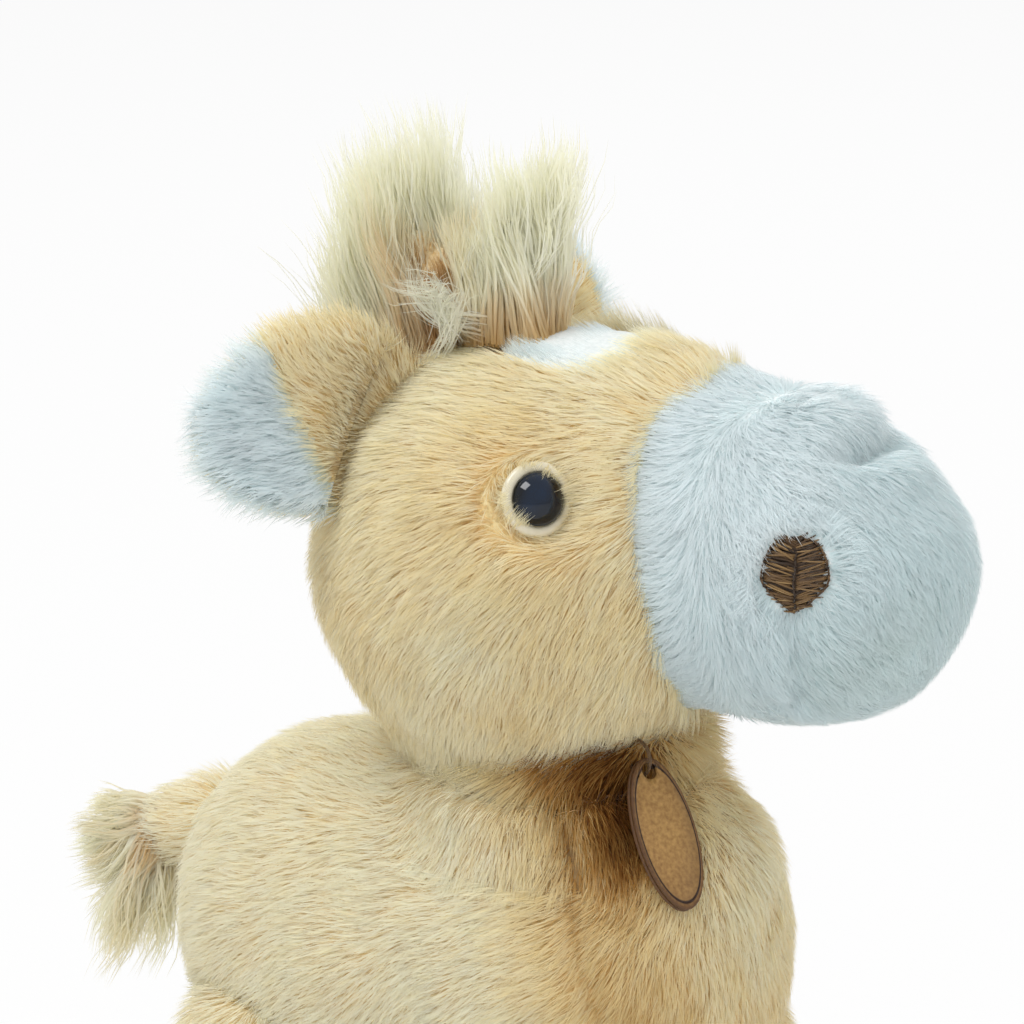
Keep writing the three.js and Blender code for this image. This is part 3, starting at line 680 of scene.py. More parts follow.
def to_head(points):
    """Points of the drawing as lengths along the nose, to the side and up."""
    return (np.asarray(points) - CRANIUM) @ HEAD_AXES.T


def mirrored(local):
    """Points in the head's own axes, with those on the right moved over to the left."""
    return local * [1, 0, 1] + np.abs(local) * [0, 1, 0]


def head_section(along):
    """Half width, height above and depth below the nose axis, at places along it."""
    round_part = np.sqrt(np.maximum(0, CRANIUM_RADIUS ** 2 - along ** 2))
    length = np.where(along > MUZZLE_ALONG, MUZZLE_FRONT, MUZZLE_BACK)
    egg = np.sqrt(np.maximum(0, 1 - ((along - MUZZLE_ALONG) / length) ** 2))
    wide, deep = (
        (round_part ** JOIN_POWER + (half * egg) ** JOIN_POWER) ** (1 / JOIN_POWER)
        for half in (MUZZLE_HALF_WIDTH, MUZZLE_HALF_HEIGHT)
    )
    taper = (CRANIUM_RADIUS - MUZZLE_HALF_HEIGHT) / MUZZLE_ALONG
    bridge = (CRANIUM_RADIUS - taper * along) / math.sqrt(1 - taper ** 2)
    on_bridge = (along > CRANIUM_RADIUS * taper) & (along < MUZZLE_ALONG)
    high = np.where(on_bridge, np.maximum(deep, bridge), deep)
    return wide, high, deep


SEAM_ANGLES = [-90, -70, -45, -20, 0, 20, 40, 55, 65, 75, 90]
SEAM_ALONG = [37.0, 38.4, 41.5, 43.0, 42.2, 40.4, 39.5, 41.0, 44.0, 48.0, 49.0]


def seam_along(around):
    """Where the muzzle's seam lies along the nose, by the angle up from the side."""
    rise = np.degrees(np.arcsin(np.sin(around)))
    return np.interp(rise, SEAM_ANGLES, SEAM_ALONG)


HEAD_SIDES = 128


def head_rings(first, last, shares):
    """Rings between two limits along the nose, given as numbers or by side."""
    around = full_turn(HEAD_SIDES)
    first = np.broadcast_to(first, HEAD_SIDES)
    last = np.broadcast_to(last, HEAD_SIDES)
    rings = []
    for share in shares:
        along = first + (last - first) * share
        wide, high, deep = head_section(along)
        tall = np.where(np.sin(around) > 0, high, deep)
        rings.append(np.stack([along, wide * np.cos(around), tall * np.sin(around)], 1))
    return np.array(rings)


# %% [markdown]
# ## Eye seats
# A safety eye's shank goes through the cloth and is locked behind it, which pulls a flat
# dimple into the face. Points near an eye are pressed back to the plane that its ring sits
# on, and the rim of the dimple eases out over a few mm.

# %% Eye seats
EYE_FORWARD, EYE_SIDE, EYE_UP, EYE_SINK = 19.2, 37.0, 22.5, 2.4
EYE_TURN, EYE_LIFT = math.radians(50), math.radians(14)
RING_RADIUS, DIMPLE_FLAT, DIMPLE_EASE = 8.2, 0.6, 5.0


def eye_seat(side):
    """The way an eye looks and the middle of its seat. Side is -1 for right, 1 for left."""
    look = np.array([
        math.sin(EYE_TURN) * math.cos(EYE_LIFT),
        side * math.cos(EYE_TURN) * math.cos(EYE_LIFT),
        math.sin(EYE_LIFT),
    ])
    seat = CRANIUM + np.array([EYE_FORWARD, side * EYE_SIDE, EYE_UP]) - EYE_SINK * look
    return look, seat


def eye_offset(points, side):
    """Heights of points over an eye's seat, and their reach from the eye's axis."""
    look, seat = eye_seat(side)
    offset = points - seat
    height = offset @ look
    return height, length_of(offset - height[:, None] * look)


def press_eyes(points):
    """Presses the dimples of both eyes into points of the head."""
    points = points.copy()
    for side in (-1, 1):
        look, _ = eye_seat(side)
        height, reach = eye_offset(points, side)
        edge = RING_RADIUS + DIMPLE_EASE
        allowed = height * smoothstep(reach, RING_RADIUS + DIMPLE_FLAT, edge)
        near = (height > 0) & (reach < edge)
        points[near] -= ((height - allowed)[:, None] * look)[near]
    return points


# %% [markdown]
# ## Creases of the muzzle
# Stuffing and stitches pull the muzzle in along two lines on each side: a deep crease from
# the bridge back over the cheek, and a faint one down from the nostril. Skin near such a
# line is drawn in, the lobe above the long one is filled out, and the slope ahead is
# flattened.

# %% Creases
CREASE = np.array([[84, 0, 28], [83, 7.5, 27], [76, 16.5, 26], [66, 21.5, 25], [57, 24, 24]], float)
CREASE_DEPTH, CREASE_WIDTH = 4.6, 5.0
MOUTH = np.array([[76.6, 31.5, -3], [74.5, 29.5, -13], [71, 22, -24]], float)
MOUTH_DEPTH, MOUTH_WIDTH = 3.0, 3.6
LOBE_PLACE, LOBE_HEIGHT, LOBE_WIDTH = np.array([72.0, 8.0, 32.0]), 3.4, 10.0
SLOPE_PLACE, SLOPE_DEPTH, SLOPE_SIZE = np.array([90, 6, 17]), 3.2, np.array([14, 22, 12])


def line_distance(points, line):
    """The shortest distance from each point to a line through given points."""
    best = np.full(len(points), np.inf)
    for a, b in zip(line[:-1], line[1:]):
        share = np.clip((points - a) @ (b - a) / ((b - a) @ (b - a)), 0, 1)
        best = np.minimum(best, length_of(points - a - share[:, None] * (b - a)))
    return best


def crease_share(local):
    """The long crease's depth as a share, in the head's own axes. It fades down the cheek."""
    fade = 1 - 0.9 * smoothstep(local[:, 1], 7, 20)
    return fade * bell(line_distance(local, CREASE), CREASE_WIDTH)


def shape_muzzle(points):
    """Draws creases, lobe and slope into points of the muzzle."""
    local = to_head(points)
    half = mirrored(local)
    outward = unit(local - [MUZZLE_ALONG - 8, 0, 0])
    rise = LOBE_HEIGHT * bell(length_of(half - LOBE_PLACE), LOBE_WIDTH)
    rise -= CREASE_DEPTH * crease_share(half)
    rise -= MOUTH_DEPTH * bell(line_distance(half, MOUTH), MOUTH_WIDTH)
    rise -= SLOPE_DEPTH * bell(length_of((half - SLOPE_PLACE) / SLOPE_SIZE), 1)
    return from_head(local + outward * rise[:, None])


# %% [markdown]
# ## The forehead
# The stuffing lifts the forehead over the plain sections, in one soft swell. The blaze lies
# on that swell: its outline is a square with round corners, and the tan pile stops there.

# %% Forehead
BROW_ALONG, BROW_REACH, BROW_SIDE, BROW_RISE = 36.0, 22.0, 24.0, 5.0
BLAZE_ALONG, BLAZE_HALF_LENGTH, BLAZE_HALF_WIDTH, BLAZE_SQUARE = 15.0, 16.0, 15.0, 3.4
FAR_OFF = 9.0


def brow_rise(along, side):
    """How far the stuffing lifts the forehead over the plain sections."""
    return BROW_RISE * np.exp(-((along - BROW_ALONG) / BROW_REACH) ** 2 - (side / BROW_SIDE) ** 2)


def blaze_share(points):
    """How far out a point is from the blaze's middle, as a share of its outline."""
    local = to_head(points)
    share = (np.abs((local[:, 0] - BLAZE_ALONG) / BLAZE_HALF_LENGTH) ** BLAZE_SQUARE
             + np.abs(local[:, 1] / BLAZE_HALF_WIDTH) ** BLAZE_SQUARE) ** (1 / BLAZE_SQUARE)
    return np.where(local[:, 2] > 0, share, FAR_OFF)


# %% [markdown]
# ## Where the nostrils go
# A nostril looks straight out from the middle of the muzzle. The pile parts round it, and the
# stitches are laid out in the same axes later.

# %% Nostril places
NOSTRIL_FORWARD, NOSTRIL_SIDE, NOSTRIL_UP, NOSTRIL_RADIUS = 76.2, 31.0, 12.4, 7.6


def nostril_frame(side):
    """The middle of a nostril, and its own axes: across, upright and out of the muzzle."""
    middle = CRANIUM + [NOSTRIL_FORWARD, side * NOSTRIL_SIDE, NOSTRIL_UP]
    out = unit(middle - from_head([MUZZLE_ALONG, 0, 0]))
    upright = unit(np.array([0, 0, 1.0]) - out[2] * out)
    return middle, np.array([np.cross(upright, out), upright, out])


def nostril_reach(points):
    """Distance from the nearer nostril's middle, across its face, and the way out from it."""
    middle, axes = nostril_frame(-1)
    flip = np.where(points[:, 1:2] > 0, [1, -1, 1], 1)
    offset = points * flip - middle
    offset -= (offset @ axes[2])[:, None] * axes[2]
    return length_of(offset), unit(offset * flip)


# %% [markdown]
# ## The hides of head and muzzle
# Both are lofts of the same sections. Where they meet, the thread draws the cloth in, so the
# last few rings are pulled towards the axis. Rings stand closer at the closed end, where the
# form turns fastest.

# %% Head and muzzle hides
HEAD_TUCK, MUZZLE_TUCK, TUCKED_RINGS = 1.6, 1.0, 4
HEAD_RING_COUNT, MUZZLE_RING_COUNT = 90, 80


def tuck(rings, depth):
    """Draws the first rings in towards the axis, the first of them most."""
    rings = rings.copy()
    for i in range(TUCKED_RINGS):
        rings[i] -= unit(rings[i] * [0, 1, 1]) * depth * (1 - i / TUCKED_RINGS) ** 2
    return rings


seam = seam_along(full_turn(HEAD_SIDES))
closing = 1 - np.cos(math.pi / 2 * np.linspace(0, 1, HEAD_RING_COUNT))
rings = tuck(head_rings(-CRANIUM_RADIUS + 0.15, seam - 0.2, closing)[::-1], HEAD_TUCK)[::-1]
points, faces = loft(rings, (-CRANIUM_RADIUS, 0, 0), (seam.mean() - 6, 0, 0))
points[:, 2] += brow_rise(points[:, 0], points[:, 1]) * smoothstep(points[:, 2], 0, 30)
points = from_head(points)
points += unit(points - CRANIUM) * (0.35 * wander(points, 34, 11))[:, None]
head_skin = new_piece("head_hide", press_eyes(points), faces, tan_backing)

closing = np.sin(math.pi / 2 * np.linspace(0, 1, MUZZLE_RING_COUNT))
rings = tuck(head_rings(seam + 0.2, MUZZLE_ALONG + MUZZLE_FRONT - 0.1, closing), MUZZLE_TUCK)
points, faces = loft(rings, (seam.mean() - 4, 0, 0), (MUZZLE_ALONG + MUZZLE_FRONT, 0, 0))
points[:, 2] += brow_rise(points[:, 0], points[:, 1]) * smoothstep(points[:, 2], 0, 30)
points = shape_muzzle(from_head(points))
muzzle_skin = new_piece("muzzle_hide", points, faces, white_backing)
for piece, nodes in ((head_skin, ("head_skin", "head_stuffing")),
                     (muzzle_skin, ("muzzle_skin", "muzzle_stuffing"))):
    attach(piece, "head")
    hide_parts(*nodes)
print("head", len(head_skin.data.polygons), "muzzle", len(muzzle_skin.data.polygons))

# %% [markdown]
# ## A coat of short pile
# One function grows every short coat. It plants roots, lets the combing wander, sets each
# strand's length, lean and tone, makes the ribbons, and lets the coat ride with the skin it
# grows on.

# %% Growing a coat
COMBING_DRIFT, LENGTH_DRIFT, RISE_DRIFT, TONE_DRIFT = (11, 18), (0.08, 11), (0.15, 9), (0.04, 6)
TONE_STRAY = 0.06


def drift(points, amount_and_size, seed):
    """A wandering value of an amount, in patches of a size in mm."""
    amount, size = amount_and_size
    return amount * wander(points, size, seed)


def swing_flow(flow, out, degrees):
    """Turns each direction on the skin by its own angle."""
    angle = np.radians(degrees)[:, None]
    return unit(flow * np.cos(angle) + np.cross(out, flow) * np.sin(angle))


def short_pile(name, piece, body, per_mm2, flow_of, length, material, tones, seed, keep=None,
               stand=36, rest=4, width=0.28, steps=2, spacing=8, pull=0.2, stray=11, trim=None,
               lift=None):
    """A coat over a piece. Tones, trim and lift are functions of its roots, in mm and degrees."""
    rng = np.random.default_rng(seed)
    roots, out = scatter(piece, per_mm2, seed, keep)
    count = len(roots)
    flow = flow_of(roots, out)
    flow = swing_flow(flow, out, drift(roots, COMBING_DRIFT, seed + 1))
    flow = swing_flow(flow, out, rng.normal(0, stray, count))
    size = length * (1 + drift(roots, LENGTH_DRIFT, seed + 2)) * rng.uniform(0.72, 1.15, count)
    if trim is not None:
        size = size * trim(roots)
    rise = 1 + drift(roots, RISE_DRIFT, seed + 3)
    raised = 0 if lift is None else lift(roots)
    lines = bend_lines(roots, out, flow, size, stand * rise + raised, rest * rise + raised, steps)
    lines = gather(lines, spacing, pull, seed + 4)
    shade = tones(roots) if callable(tones) else tones
    shade = shade + drift(roots, TONE_DRIFT, seed + 5) + rng.normal(0, TONE_STRAY, count)
    thick = width * rng.uniform(0.7, 1.2, count)
    coat = ribbons(name, lines, out, thick, shade, material, seed + 6)
    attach(coat, body)
    return coat


# %% [markdown]
# ## The pile of the head
# Forehead and cheeks are combed back and down. Round an eye the pile stands up and leans
# over the ring, under the jaw it hangs down over the neck, and beside the blaze it is
# brushed up. None grows under the rings, in the neck's bowl, or where the blaze lies.

# %% Pile of the head
NECK_X, NECK_RADIUS, NECK_BOTTOM, BOWL_EDGE = 18.0, 28.0, 116.0, 170.0
HEAD_DENSITY, HEAD_LENGTH = 3.6, 9.0
JAW_LOW, JAW_HIGH = 147, 163
BRUSHED_ALONG, BRUSHED_SIDE = BLAZE_ALONG + 2, 21


def eye_share(roots):
    """1 beside an eye's ring, where the pile stands up and leans over it."""
    reach = np.min([length_of(roots - eye_seat(side)[1]) for side in (-1, 1)], axis=0)
    return 1 - smoothstep(reach, RING_RADIUS, RING_RADIUS + 4)


def jaw_share(roots):
    """1 under the jaw, where the pile hangs down over the neck, and 0 on the cheeks."""
    return 1 - smoothstep(roots[:, 2], JAW_LOW, JAW_HIGH)


def brow_share(roots):
    """1 beside the blaze on the left, where the pile is brushed up, and 0 elsewhere."""
    local = to_head(roots)
    beside = bell(local[:, 0] - BRUSHED_ALONG, 17) * bell(local[:, 1] - BRUSHED_SIDE, 7)
    return beside * (local[:, 2] > 0)


def head_flow(roots, out):
    """Back over the forehead, down and back on the cheeks, and towards an eye beside it."""
    high = np.clip((roots[:, 2] - CRANIUM[2]) / CRANIUM_RADIUS, -1, 1)
    way = np.stack([-0.65 - 0.35 * high, 0.12 * wander(roots, 30, 5), -0.9 + 0.9 * high], 1)
    near = eye_share(roots)[:, None]
    seats = np.where(roots[:, 1:2] < 0, eye_seat(-1)[1], eye_seat(1)[1])
    return along_skin(way * (1 - near) + unit(seats - roots) * near, out)


def off_eyes(roots):
    """True where pile grows, and False under the rings of the eyes."""
    grows = np.ones(len(roots), bool)
    for side in (-1, 1):
        height, reach = eye_offset(roots, side)
        grows &= (height <= -8) | (reach >= RING_RADIUS - 0.4)
    return grows


def off_neck(points):
    """True where the head is clear of the neck's bowl."""
    reach = np.hypot(points[:, 0] - NECK_X, points[:, 1])
    return (reach > NECK_RADIUS + 1.5) | (points[:, 2] > BOWL_EDGE)


def ahead_of_seam(points):
    """Millimetres ahead of the muzzle's seam."""
    local = to_head(points)
    return local[:, 0] - seam_along(np.arctan2(local[:, 2], np.abs(local[:, 1])))


def head_tones(points):
    """The tan is paler towards the crown, as painted light from above, and deeper round the eyes, as
    painted shade round their rings.
    """
    # Painted light on the crown, and painted shade round each eye's ring.
    tone = 0.74 + 0.08 * np.clip((points[:, 2] - CRANIUM[2]) / CRANIUM_RADIUS, -0.1, 1)
    for side in (-1, 1):
        tone -= 0.13 * bell(length_of(points - eye_seat(side)[1]) - 12, 9)
    return tone + 0.05 * wander(points, 26, 51)


def head_trim(roots):
    """Longer under the jaw and beside the blaze, and shorter round the eyes."""
    return 1 + 0.5 * jaw_share(roots) + 0.6 * brow_share(roots) - 0.3 * eye_share(roots)


def head_lift(roots):
    """Degrees that the pile is lifted by, in the same three places."""
    return 34 * jaw_share(roots) + 34 * brow_share(roots) + 24 * eye_share(roots)


def on_head(roots, side):
    """True where the tan pile of one side grows."""
    bare = (ahead_of_seam(roots) >= -0.3) | (blaze_share(roots) <= 1.0)
    return off_eyes(roots) & off_neck(roots) & ~bare & (roots[:, 1] * side > 0)


for name, side, seed in (("head_pile_right", -1, 100), ("head_pile_left", 1, 150)):
    short_pile(name, head_skin, "head", HEAD_DENSITY, head_flow, HEAD_LENGTH, tan_pile,
               head_tones, seed, trim=head_trim, lift=head_lift,
               keep=lambda p, n, side=side: on_head(p, side))

# %% [markdown]
# ## The pile of the muzzle
# The white pile runs from behind the bridge over the front and down the cheeks. At the seam
# it lies back over the tan, which hides the thread, and it parts round each nostril. In the
# creases and at the front it is trimmed shorter, as a maker does to bring the face out.

# %% Pile of the muzzle
MUZZLE_DENSITY, MUZZLE_LENGTH = 4.2, 7.5
COMBED_FROM = from_head([26.0, 0, 64.0])


def muzzle_flow(roots, out):
    """Combed back over the seam, and elsewhere over the front and down the cheeks."""
    at_seam = (1 - smoothstep(ahead_of_seam(roots), 5, 20))[:, None]
    way = unit(roots - COMBED_FROM) * (1 - at_seam) + np.array([-1.0, 0, -0.35]) * at_seam
    reach, away = nostril_reach(roots)
    near = (1 - smoothstep(reach, NOSTRIL_RADIUS, NOSTRIL_RADIUS + 5))[:, None] * 0.8
    return along_skin(unit(way) * (1 - near) + away * near, out)


def muzzle_trim(roots):
    """Shorter pile in the creases, so that they stay open, and at the front."""
    local = to_head(roots)
    half = mirrored(local)
    creased = np.maximum(crease_share(half), bell(line_distance(half, MOUTH), 3.5))
    front = np.maximum(1 - smoothstep(roots[:, 2], 160, 186), smoothstep(local[:, 0], 84, 98))
    return (1 - 0.45 * creased) * (1 - 0.3 * front)


def muzzle_tones(roots):
    """Painted light makes it palest on top and by the seam, and painted shade makes it greyer round to
    the front.
    """
    # Painted light on top, and painted shade towards the front.
    high = np.clip((roots[:, 2] - 200) / 22, -1, 1)
    ahead = smoothstep(to_head(roots)[:, 0], 62, 92)
    return 0.9 + 0.2 * high - 0.34 * ahead + 0.06 * wander(roots, 22, 61)


def on_muzzle_skin(roots, out):
    """True ahead of the seam and outside the nostrils."""
    return (ahead_of_seam(roots) > 0.3) & (nostril_reach(roots)[0] > NOSTRIL_RADIUS - 0.9)


short_pile("muzzle_pile", muzzle_skin, "head", MUZZLE_DENSITY, muzzle_flow, MUZZLE_LENGTH,
           white_pile, muzzle_tones, 200, keep=on_muzzle_skin, stand=32, width=0.3, pull=0.12,
           stray=15, trim=muzzle_trim)

# %% [markdown]
# ## The torso
# The body is one stuffed bag: a barrel that swells at chest and rump, with shoulders that
# rise to the neck.

# %% Torso form
TORSO_MIDDLE = np.array([-4.0, 0.0, 99.0])
TORSO_HALF = np.array([69.0, 41.0, 46.0])
CHEST_LIFT, RUMP_LIFT, FULLNESS = 11.0, 4.0, 2.7
WAIST_DEPTH, WAIST_REACH = 0.05, 0.35
LEG_TOP_RADIUS, ANKLE_RADIUS, ANKLE_Z, LEG_LOW = 18.0, 14.0, 30.0, 17.3
TAIL_ROOT, TAIL_RADIUS = np.array([-72.0, 0.0, 117.0]), 9.5
TAIL_DROOP = math.radians(12)
tail_axis = np.array([-math.cos(TAIL_DROOP), 0.0, -math.sin(TAIL_DROOP)])
LEGS = {
    "front_right": (LEG_X_FRONT, -LEG_Y),
    "front_left": (LEG_X_FRONT, LEG_Y),
    "hind_right": (LEG_X_HIND, -LEG_Y),
    "hind_left": (LEG_X_HIND, LEG_Y),
}


def torso_loft(rings=60, sides=84):
    """The barrel: squarish sections that swell at chest and rump, with a waist."""
    turns = math.pi * np.arange(1, rings) / rings
    share = -np.sign(np.cos(turns)) * np.abs(np.cos(turns)) ** (2 / FULLNESS)
    swell = (1 - np.abs(share) ** FULLNESS) ** (1 / FULLNESS)
    lift = np.where(share > 0, CHEST_LIFT, RUMP_LIFT) * share ** 2
    waist = 1 - WAIST_DEPTH * bell(share, WAIST_REACH)
    around = full_turn(sides)
    x = np.repeat(TORSO_HALF[0] * share[:, None], sides, 1)
    y = TORSO_HALF[1] * (swell * waist)[:, None] * np.cos(around)
    z = lift[:, None] + TORSO_HALF[2] * swell[:, None] * np.sin(around)
    return loft(TORSO_MIDDLE + np.stack([x, y, z], -1),
                TORSO_MIDDLE + [-TORSO_HALF[0], 0, RUMP_LIFT],
                TORSO_MIDDLE + [TORSO_HALF[0], 0, CHEST_LIFT])


def together(forms):
    """Several lists of points and faces as one."""
    points, faces, start = [], [], 0
    for form_points, form_faces in forms:
        points.append(form_points)
        faces += [[start + int(i) for i in face] for face in form_faces]
        start += len(form_points)
    return np.vstack(points), faces


# %% [markdown]
# ## Room for the joints
# A leg's round top sweeps a fan of rods as it swings, and so does the tail. The neck needs
# a round well, and the nodding head a shallow dish. All are a little larger than what moves
# in them, and a voxel remesh makes them one clean cutter.

# %% Sockets
SOCKET_GAP, LEG_SWINGS, TAIL_WAGS = 1.1, (-20, -10, 0, 10, 20), (-25, 0, 25)
DISH_RADIUS, DISH_RISE, DISH_GAP, OPEN_TOP = 120, math.radians(6), 2.4, 260


def capsule(radius, start, way, length, sides=40):
    """A rod with a round start, for cutting a socket."""
    profile = ball_arc(radius, 12) + [(radius, length), (0, length)]
    return lathe(profile, np.asarray(start, float), way, sides)


def socket_cutter():
    """The spaces that the legs, the neck, the tail and the nodding head need."""
    forms = []
    for x, y in LEGS.values():
        for swing in np.radians(LEG_SWINGS):
            way = (math.sin(swing), 0, -math.cos(swing))
            forms.append(capsule(LEG_TOP_RADIUS + SOCKET_GAP, (x, y, LEG_PIVOT_Z), way, 70))
    for wag in np.radians(TAIL_WAGS):
        way = (-math.cos(wag), math.sin(wag), tail_axis[2])
        forms.append(capsule(TAIL_RADIUS + SOCKET_GAP, TAIL_ROOT, way, 40, 24))
    well_radius = NECK_RADIUS + SOCKET_GAP
    well = [(0, NECK_BOTTOM - 1), (well_radius, NECK_BOTTOM - 1), (well_radius, 200), (0, 200)]
    low = CRANIUM[2] - CRANIUM_RADIUS - DISH_GAP
    dish = [(0, low), (DISH_RADIUS, low + DISH_RADIUS * math.tan(DISH_RISE)),
            (DISH_RADIUS, OPEN_TOP), (0, OPEN_TOP)]
    forms += [lathe(profile, np.array([NECK_X, 0, 0])) for profile in (well, dish)]
    cutter = new_piece("sockets", *together(forms))
    add_modifier(cutter, "REMESH", mode="VOXEL", voxel_size=2.0 * MM)
    return settle(cutter)


# %% [markdown]
# ## One hide for the whole body
# A boolean alone would leave knife edges where legs, neck and tail sink in, and cloth has
# none. So barrel and shoulders are fused by a voxel remesh and smoothed, the sockets are
# cut, and a finer remesh with a little smoothing rounds every rim as a stuffed seam is.

# %% Torso hide
shoulders = lathe([(0, 104), (38, 104), (34.5, 127), (30.0, 152), (0, 152)],
                  np.array([NECK_X, 0.0, 0.0]), sides=96)
torso = new_piece("torso_hide", *together([torso_loft(), shoulders]), tan_backing)
add_modifier(torso, "REMESH", mode="VOXEL", voxel_size=2.6 * MM)
add_modifier(torso, "SMOOTH", factor=0.5, iterations=10)
settle(torso)
sockets = socket_cutter()
add_modifier(torso, "BOOLEAN", operation="DIFFERENCE", object=sockets, solver="MANIFOLD")
add_modifier(torso, "REMESH", mode="VOXEL", voxel_size=2.2 * MM)
add_modifier(torso, "SMOOTH", factor=0.5, iterations=4)
settle(torso)
bpy.data.objects.remove(sockets)
cover(torso, body_backing)
print("torso", len(torso.data.polygons))

# %% [markdown]
# ## The chest seam
# The chest panel is sewn to the body panel along a line that leans back to the neck. A row
# of stitches holds the cloth down while the stuffing swells on both sides, so the surface
# dips to the seam. The same distance to the seam later parts and shortens the pile, and
# darkens it as painted shade in the dip.

# %% Seam and soft swells
SEAM_PLACE = np.array([35.0, 0.0, 125.0])
SEAM_LEAN = math.radians(18)
seam_normal = np.array([math.cos(SEAM_LEAN), 0.0, math.sin(SEAM_LEAN)])


def seam_offset(points):
    """Millimetres ahead of the chest seam."""
    return (points - SEAM_PLACE) @ seam_normal


points, normals, _ = surface(torso)
dip = 2.2 * bell(seam_offset(points), 3.2)
uneven = 0.5 * wander(points, 40, 21)
reshape_piece(torso, points + normals * (uneven - dip)[:, None])
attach(torso, "torso")
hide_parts("torso_skin", "chest_skin", "torso_stuffing")

# %% [markdown]
# ## The neck
# The neck is a stuffed plug under the jaw, hollowed at the top like a bowl, which is where
# the head turns and nods. A plain turned form with a ball taken out of it gives that bowl.

# %% Neck hide
BOWL_GAP, BALL_STEPS = 1.0, 49
neck_middle = np.array([NECK_X, 0.0, 0.0])
neck_profile = [(0, NECK_BOTTOM), (NECK_RADIUS - 2, NECK_BOTTOM), (NECK_RADIUS, NECK_BOTTOM + 2),
                (NECK_RADIUS, 140), (NECK_RADIUS, 175), (0, 175)]


def head_ball(gap, sides):
    """A ball round the cranium, for cutting what is sewn to it or lies under it."""
    arc = ball_arc(CRANIUM_RADIUS + gap, BALL_STEPS, math.pi)
    return new_piece("ball", *lathe(arc, CRANIUM, sides=sides))


neck = new_piece("neck_hide", *lathe(neck_profile, neck_middle, sides=72))
carve(neck, head_ball(BOWL_GAP, 96))
cover(neck, body_backing)
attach(neck, "neck")
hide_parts("neck_skin", "neck_stuffing")
print("neck", len(neck.data.polygons))

# %% [markdown]
# ## Legs and tail stub
# A leg is a sleeve with a ball for a top, so that it can swing in its socket, and a core
# that fills the hoof. The tail stub is a short cone with the same ball.

# %% Legs and tail stub
leg_top = [(radius, LEG_PIVOT_Z - height) for radius, height in ball_arc(LEG_TOP_RADIUS, 12)[::-1]]
leg_profile = [(0, 2.9), (11.6, 2.9), (11.6, LEG_LOW - 0.3), (12.2, LEG_LOW), (13.6, LEG_LOW + 0.1),
               (ANKLE_RADIUS, LEG_LOW + 1.5), (ANKLE_RADIUS, 24), (ANKLE_RADIUS + 0.1, ANKLE_Z),
               (15.0, 41), (16.1, 52), (17.2, 62)] + leg_top
leg_hides = {}
for name, (x, y) in LEGS.items():
    points, faces = lathe(leg_profile, np.array([x, y, 0.0]), sides=56)
    spoke = unit((points - [x, y, 0]) * [1, 1, 0])
    above = (points[:, 2] > LEG_LOW + 2)[:, None]
    points = points + above * spoke * (0.25 * wander(points, 22, 31))[:, None]
    leg = new_piece(f"leg_hide_{name}", points, faces, tan_backing)
    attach(leg, f"leg_{name}")
    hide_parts(f"leg_skin_{name}", f"leg_stuffing_{name}")
    leg_hides[name] = leg

tail_profile = ball_arc(TAIL_RADIUS, 10) + [(9.0, 5), (8.0, 10), (7.2, 13.5), (5.0, 15), (0, 15)]
tail_hide = new_piece("tail_hide", *lathe(tail_profile, TAIL_ROOT, tail_axis, 40), tan_backing)
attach(tail_hide, "tail")
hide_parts("tail_skin", "tail_stuffing")
print("legs", len(leg_hides), "faces each", len(leg.data.polygons))

# %% [markdown]
# ## Pile of the body
# The body's pile is combed back along the barrel and down its sides. None grows where one
# body runs inside another, as in the sockets, because it would only show as strands that
# stab through the neighbour when a joint moves.

# %% Pile of the torso
TORSO_DENSITY, TORSO_LENGTH, TORSO_WIDTH = 3.2, 7.6, 0.27
LEG_GAP, HEAD_GAP, TAIL_GAP, NECK_GAP = 1.2, 3.2, 2.0, 2.2
SHADE_SIZE = np.array([12, 12, 17])


def outside(piece, points):
    """How far outside a closed piece each point is. Inside it is negative."""
    corners, _, triangles = surface(piece)
    tree = BVHTree.FromPolygons(corners.tolist(), triangles.tolist())
    found = [tree.find_nearest(Vector(point)) for point in points]
    return np.array([far * (1 if (Vector(point) - near).dot(normal) > 0 else -1)
                     for point, (near, normal, _, far) in zip(points, found)])


def from_neck_axis(points):
    """The way out from the neck's upright axis to each point, with its length."""
    return (points - neck_middle) * [1, 1, 0]


def leg_gap(points):
    """Distance from the nearest leg's hide."""
    gaps = []
    for x, y in LEGS.values():
        top = np.array([x, y, LEG_PIVOT_Z])
        down = np.array([0, 0, LEG_LOW - LEG_PIVOT_Z])
        share = np.clip((points - top) @ down / (down @ down), 0, 1)
        radius = LEG_TOP_RADIUS + (ANKLE_RADIUS - LEG_TOP_RADIUS) * share
        gaps.append(length_of(points - top - share[:, None] * down) - radius)
    return np.min(gaps, axis=0)


def in_open_air(roots):
    """True where torso pile isn't in a socket, under the head or inside the neck."""
    head_gap = length_of(roots - CRANIUM) - CRANIUM_RADIUS
    neck_gap = length_of(from_neck_axis(roots)) - NECK_RADIUS
    tail_gap = length_of(roots - TAIL_ROOT) - TAIL_RADIUS
    off_neck_side = (neck_gap > NECK_GAP) | (roots[:, 2] < NECK_BOTTOM)
    return (leg_gap(roots) > LEG_GAP) & (head_gap > HEAD_GAP) & (tail_gap > TAIL_GAP) & off_neck_side


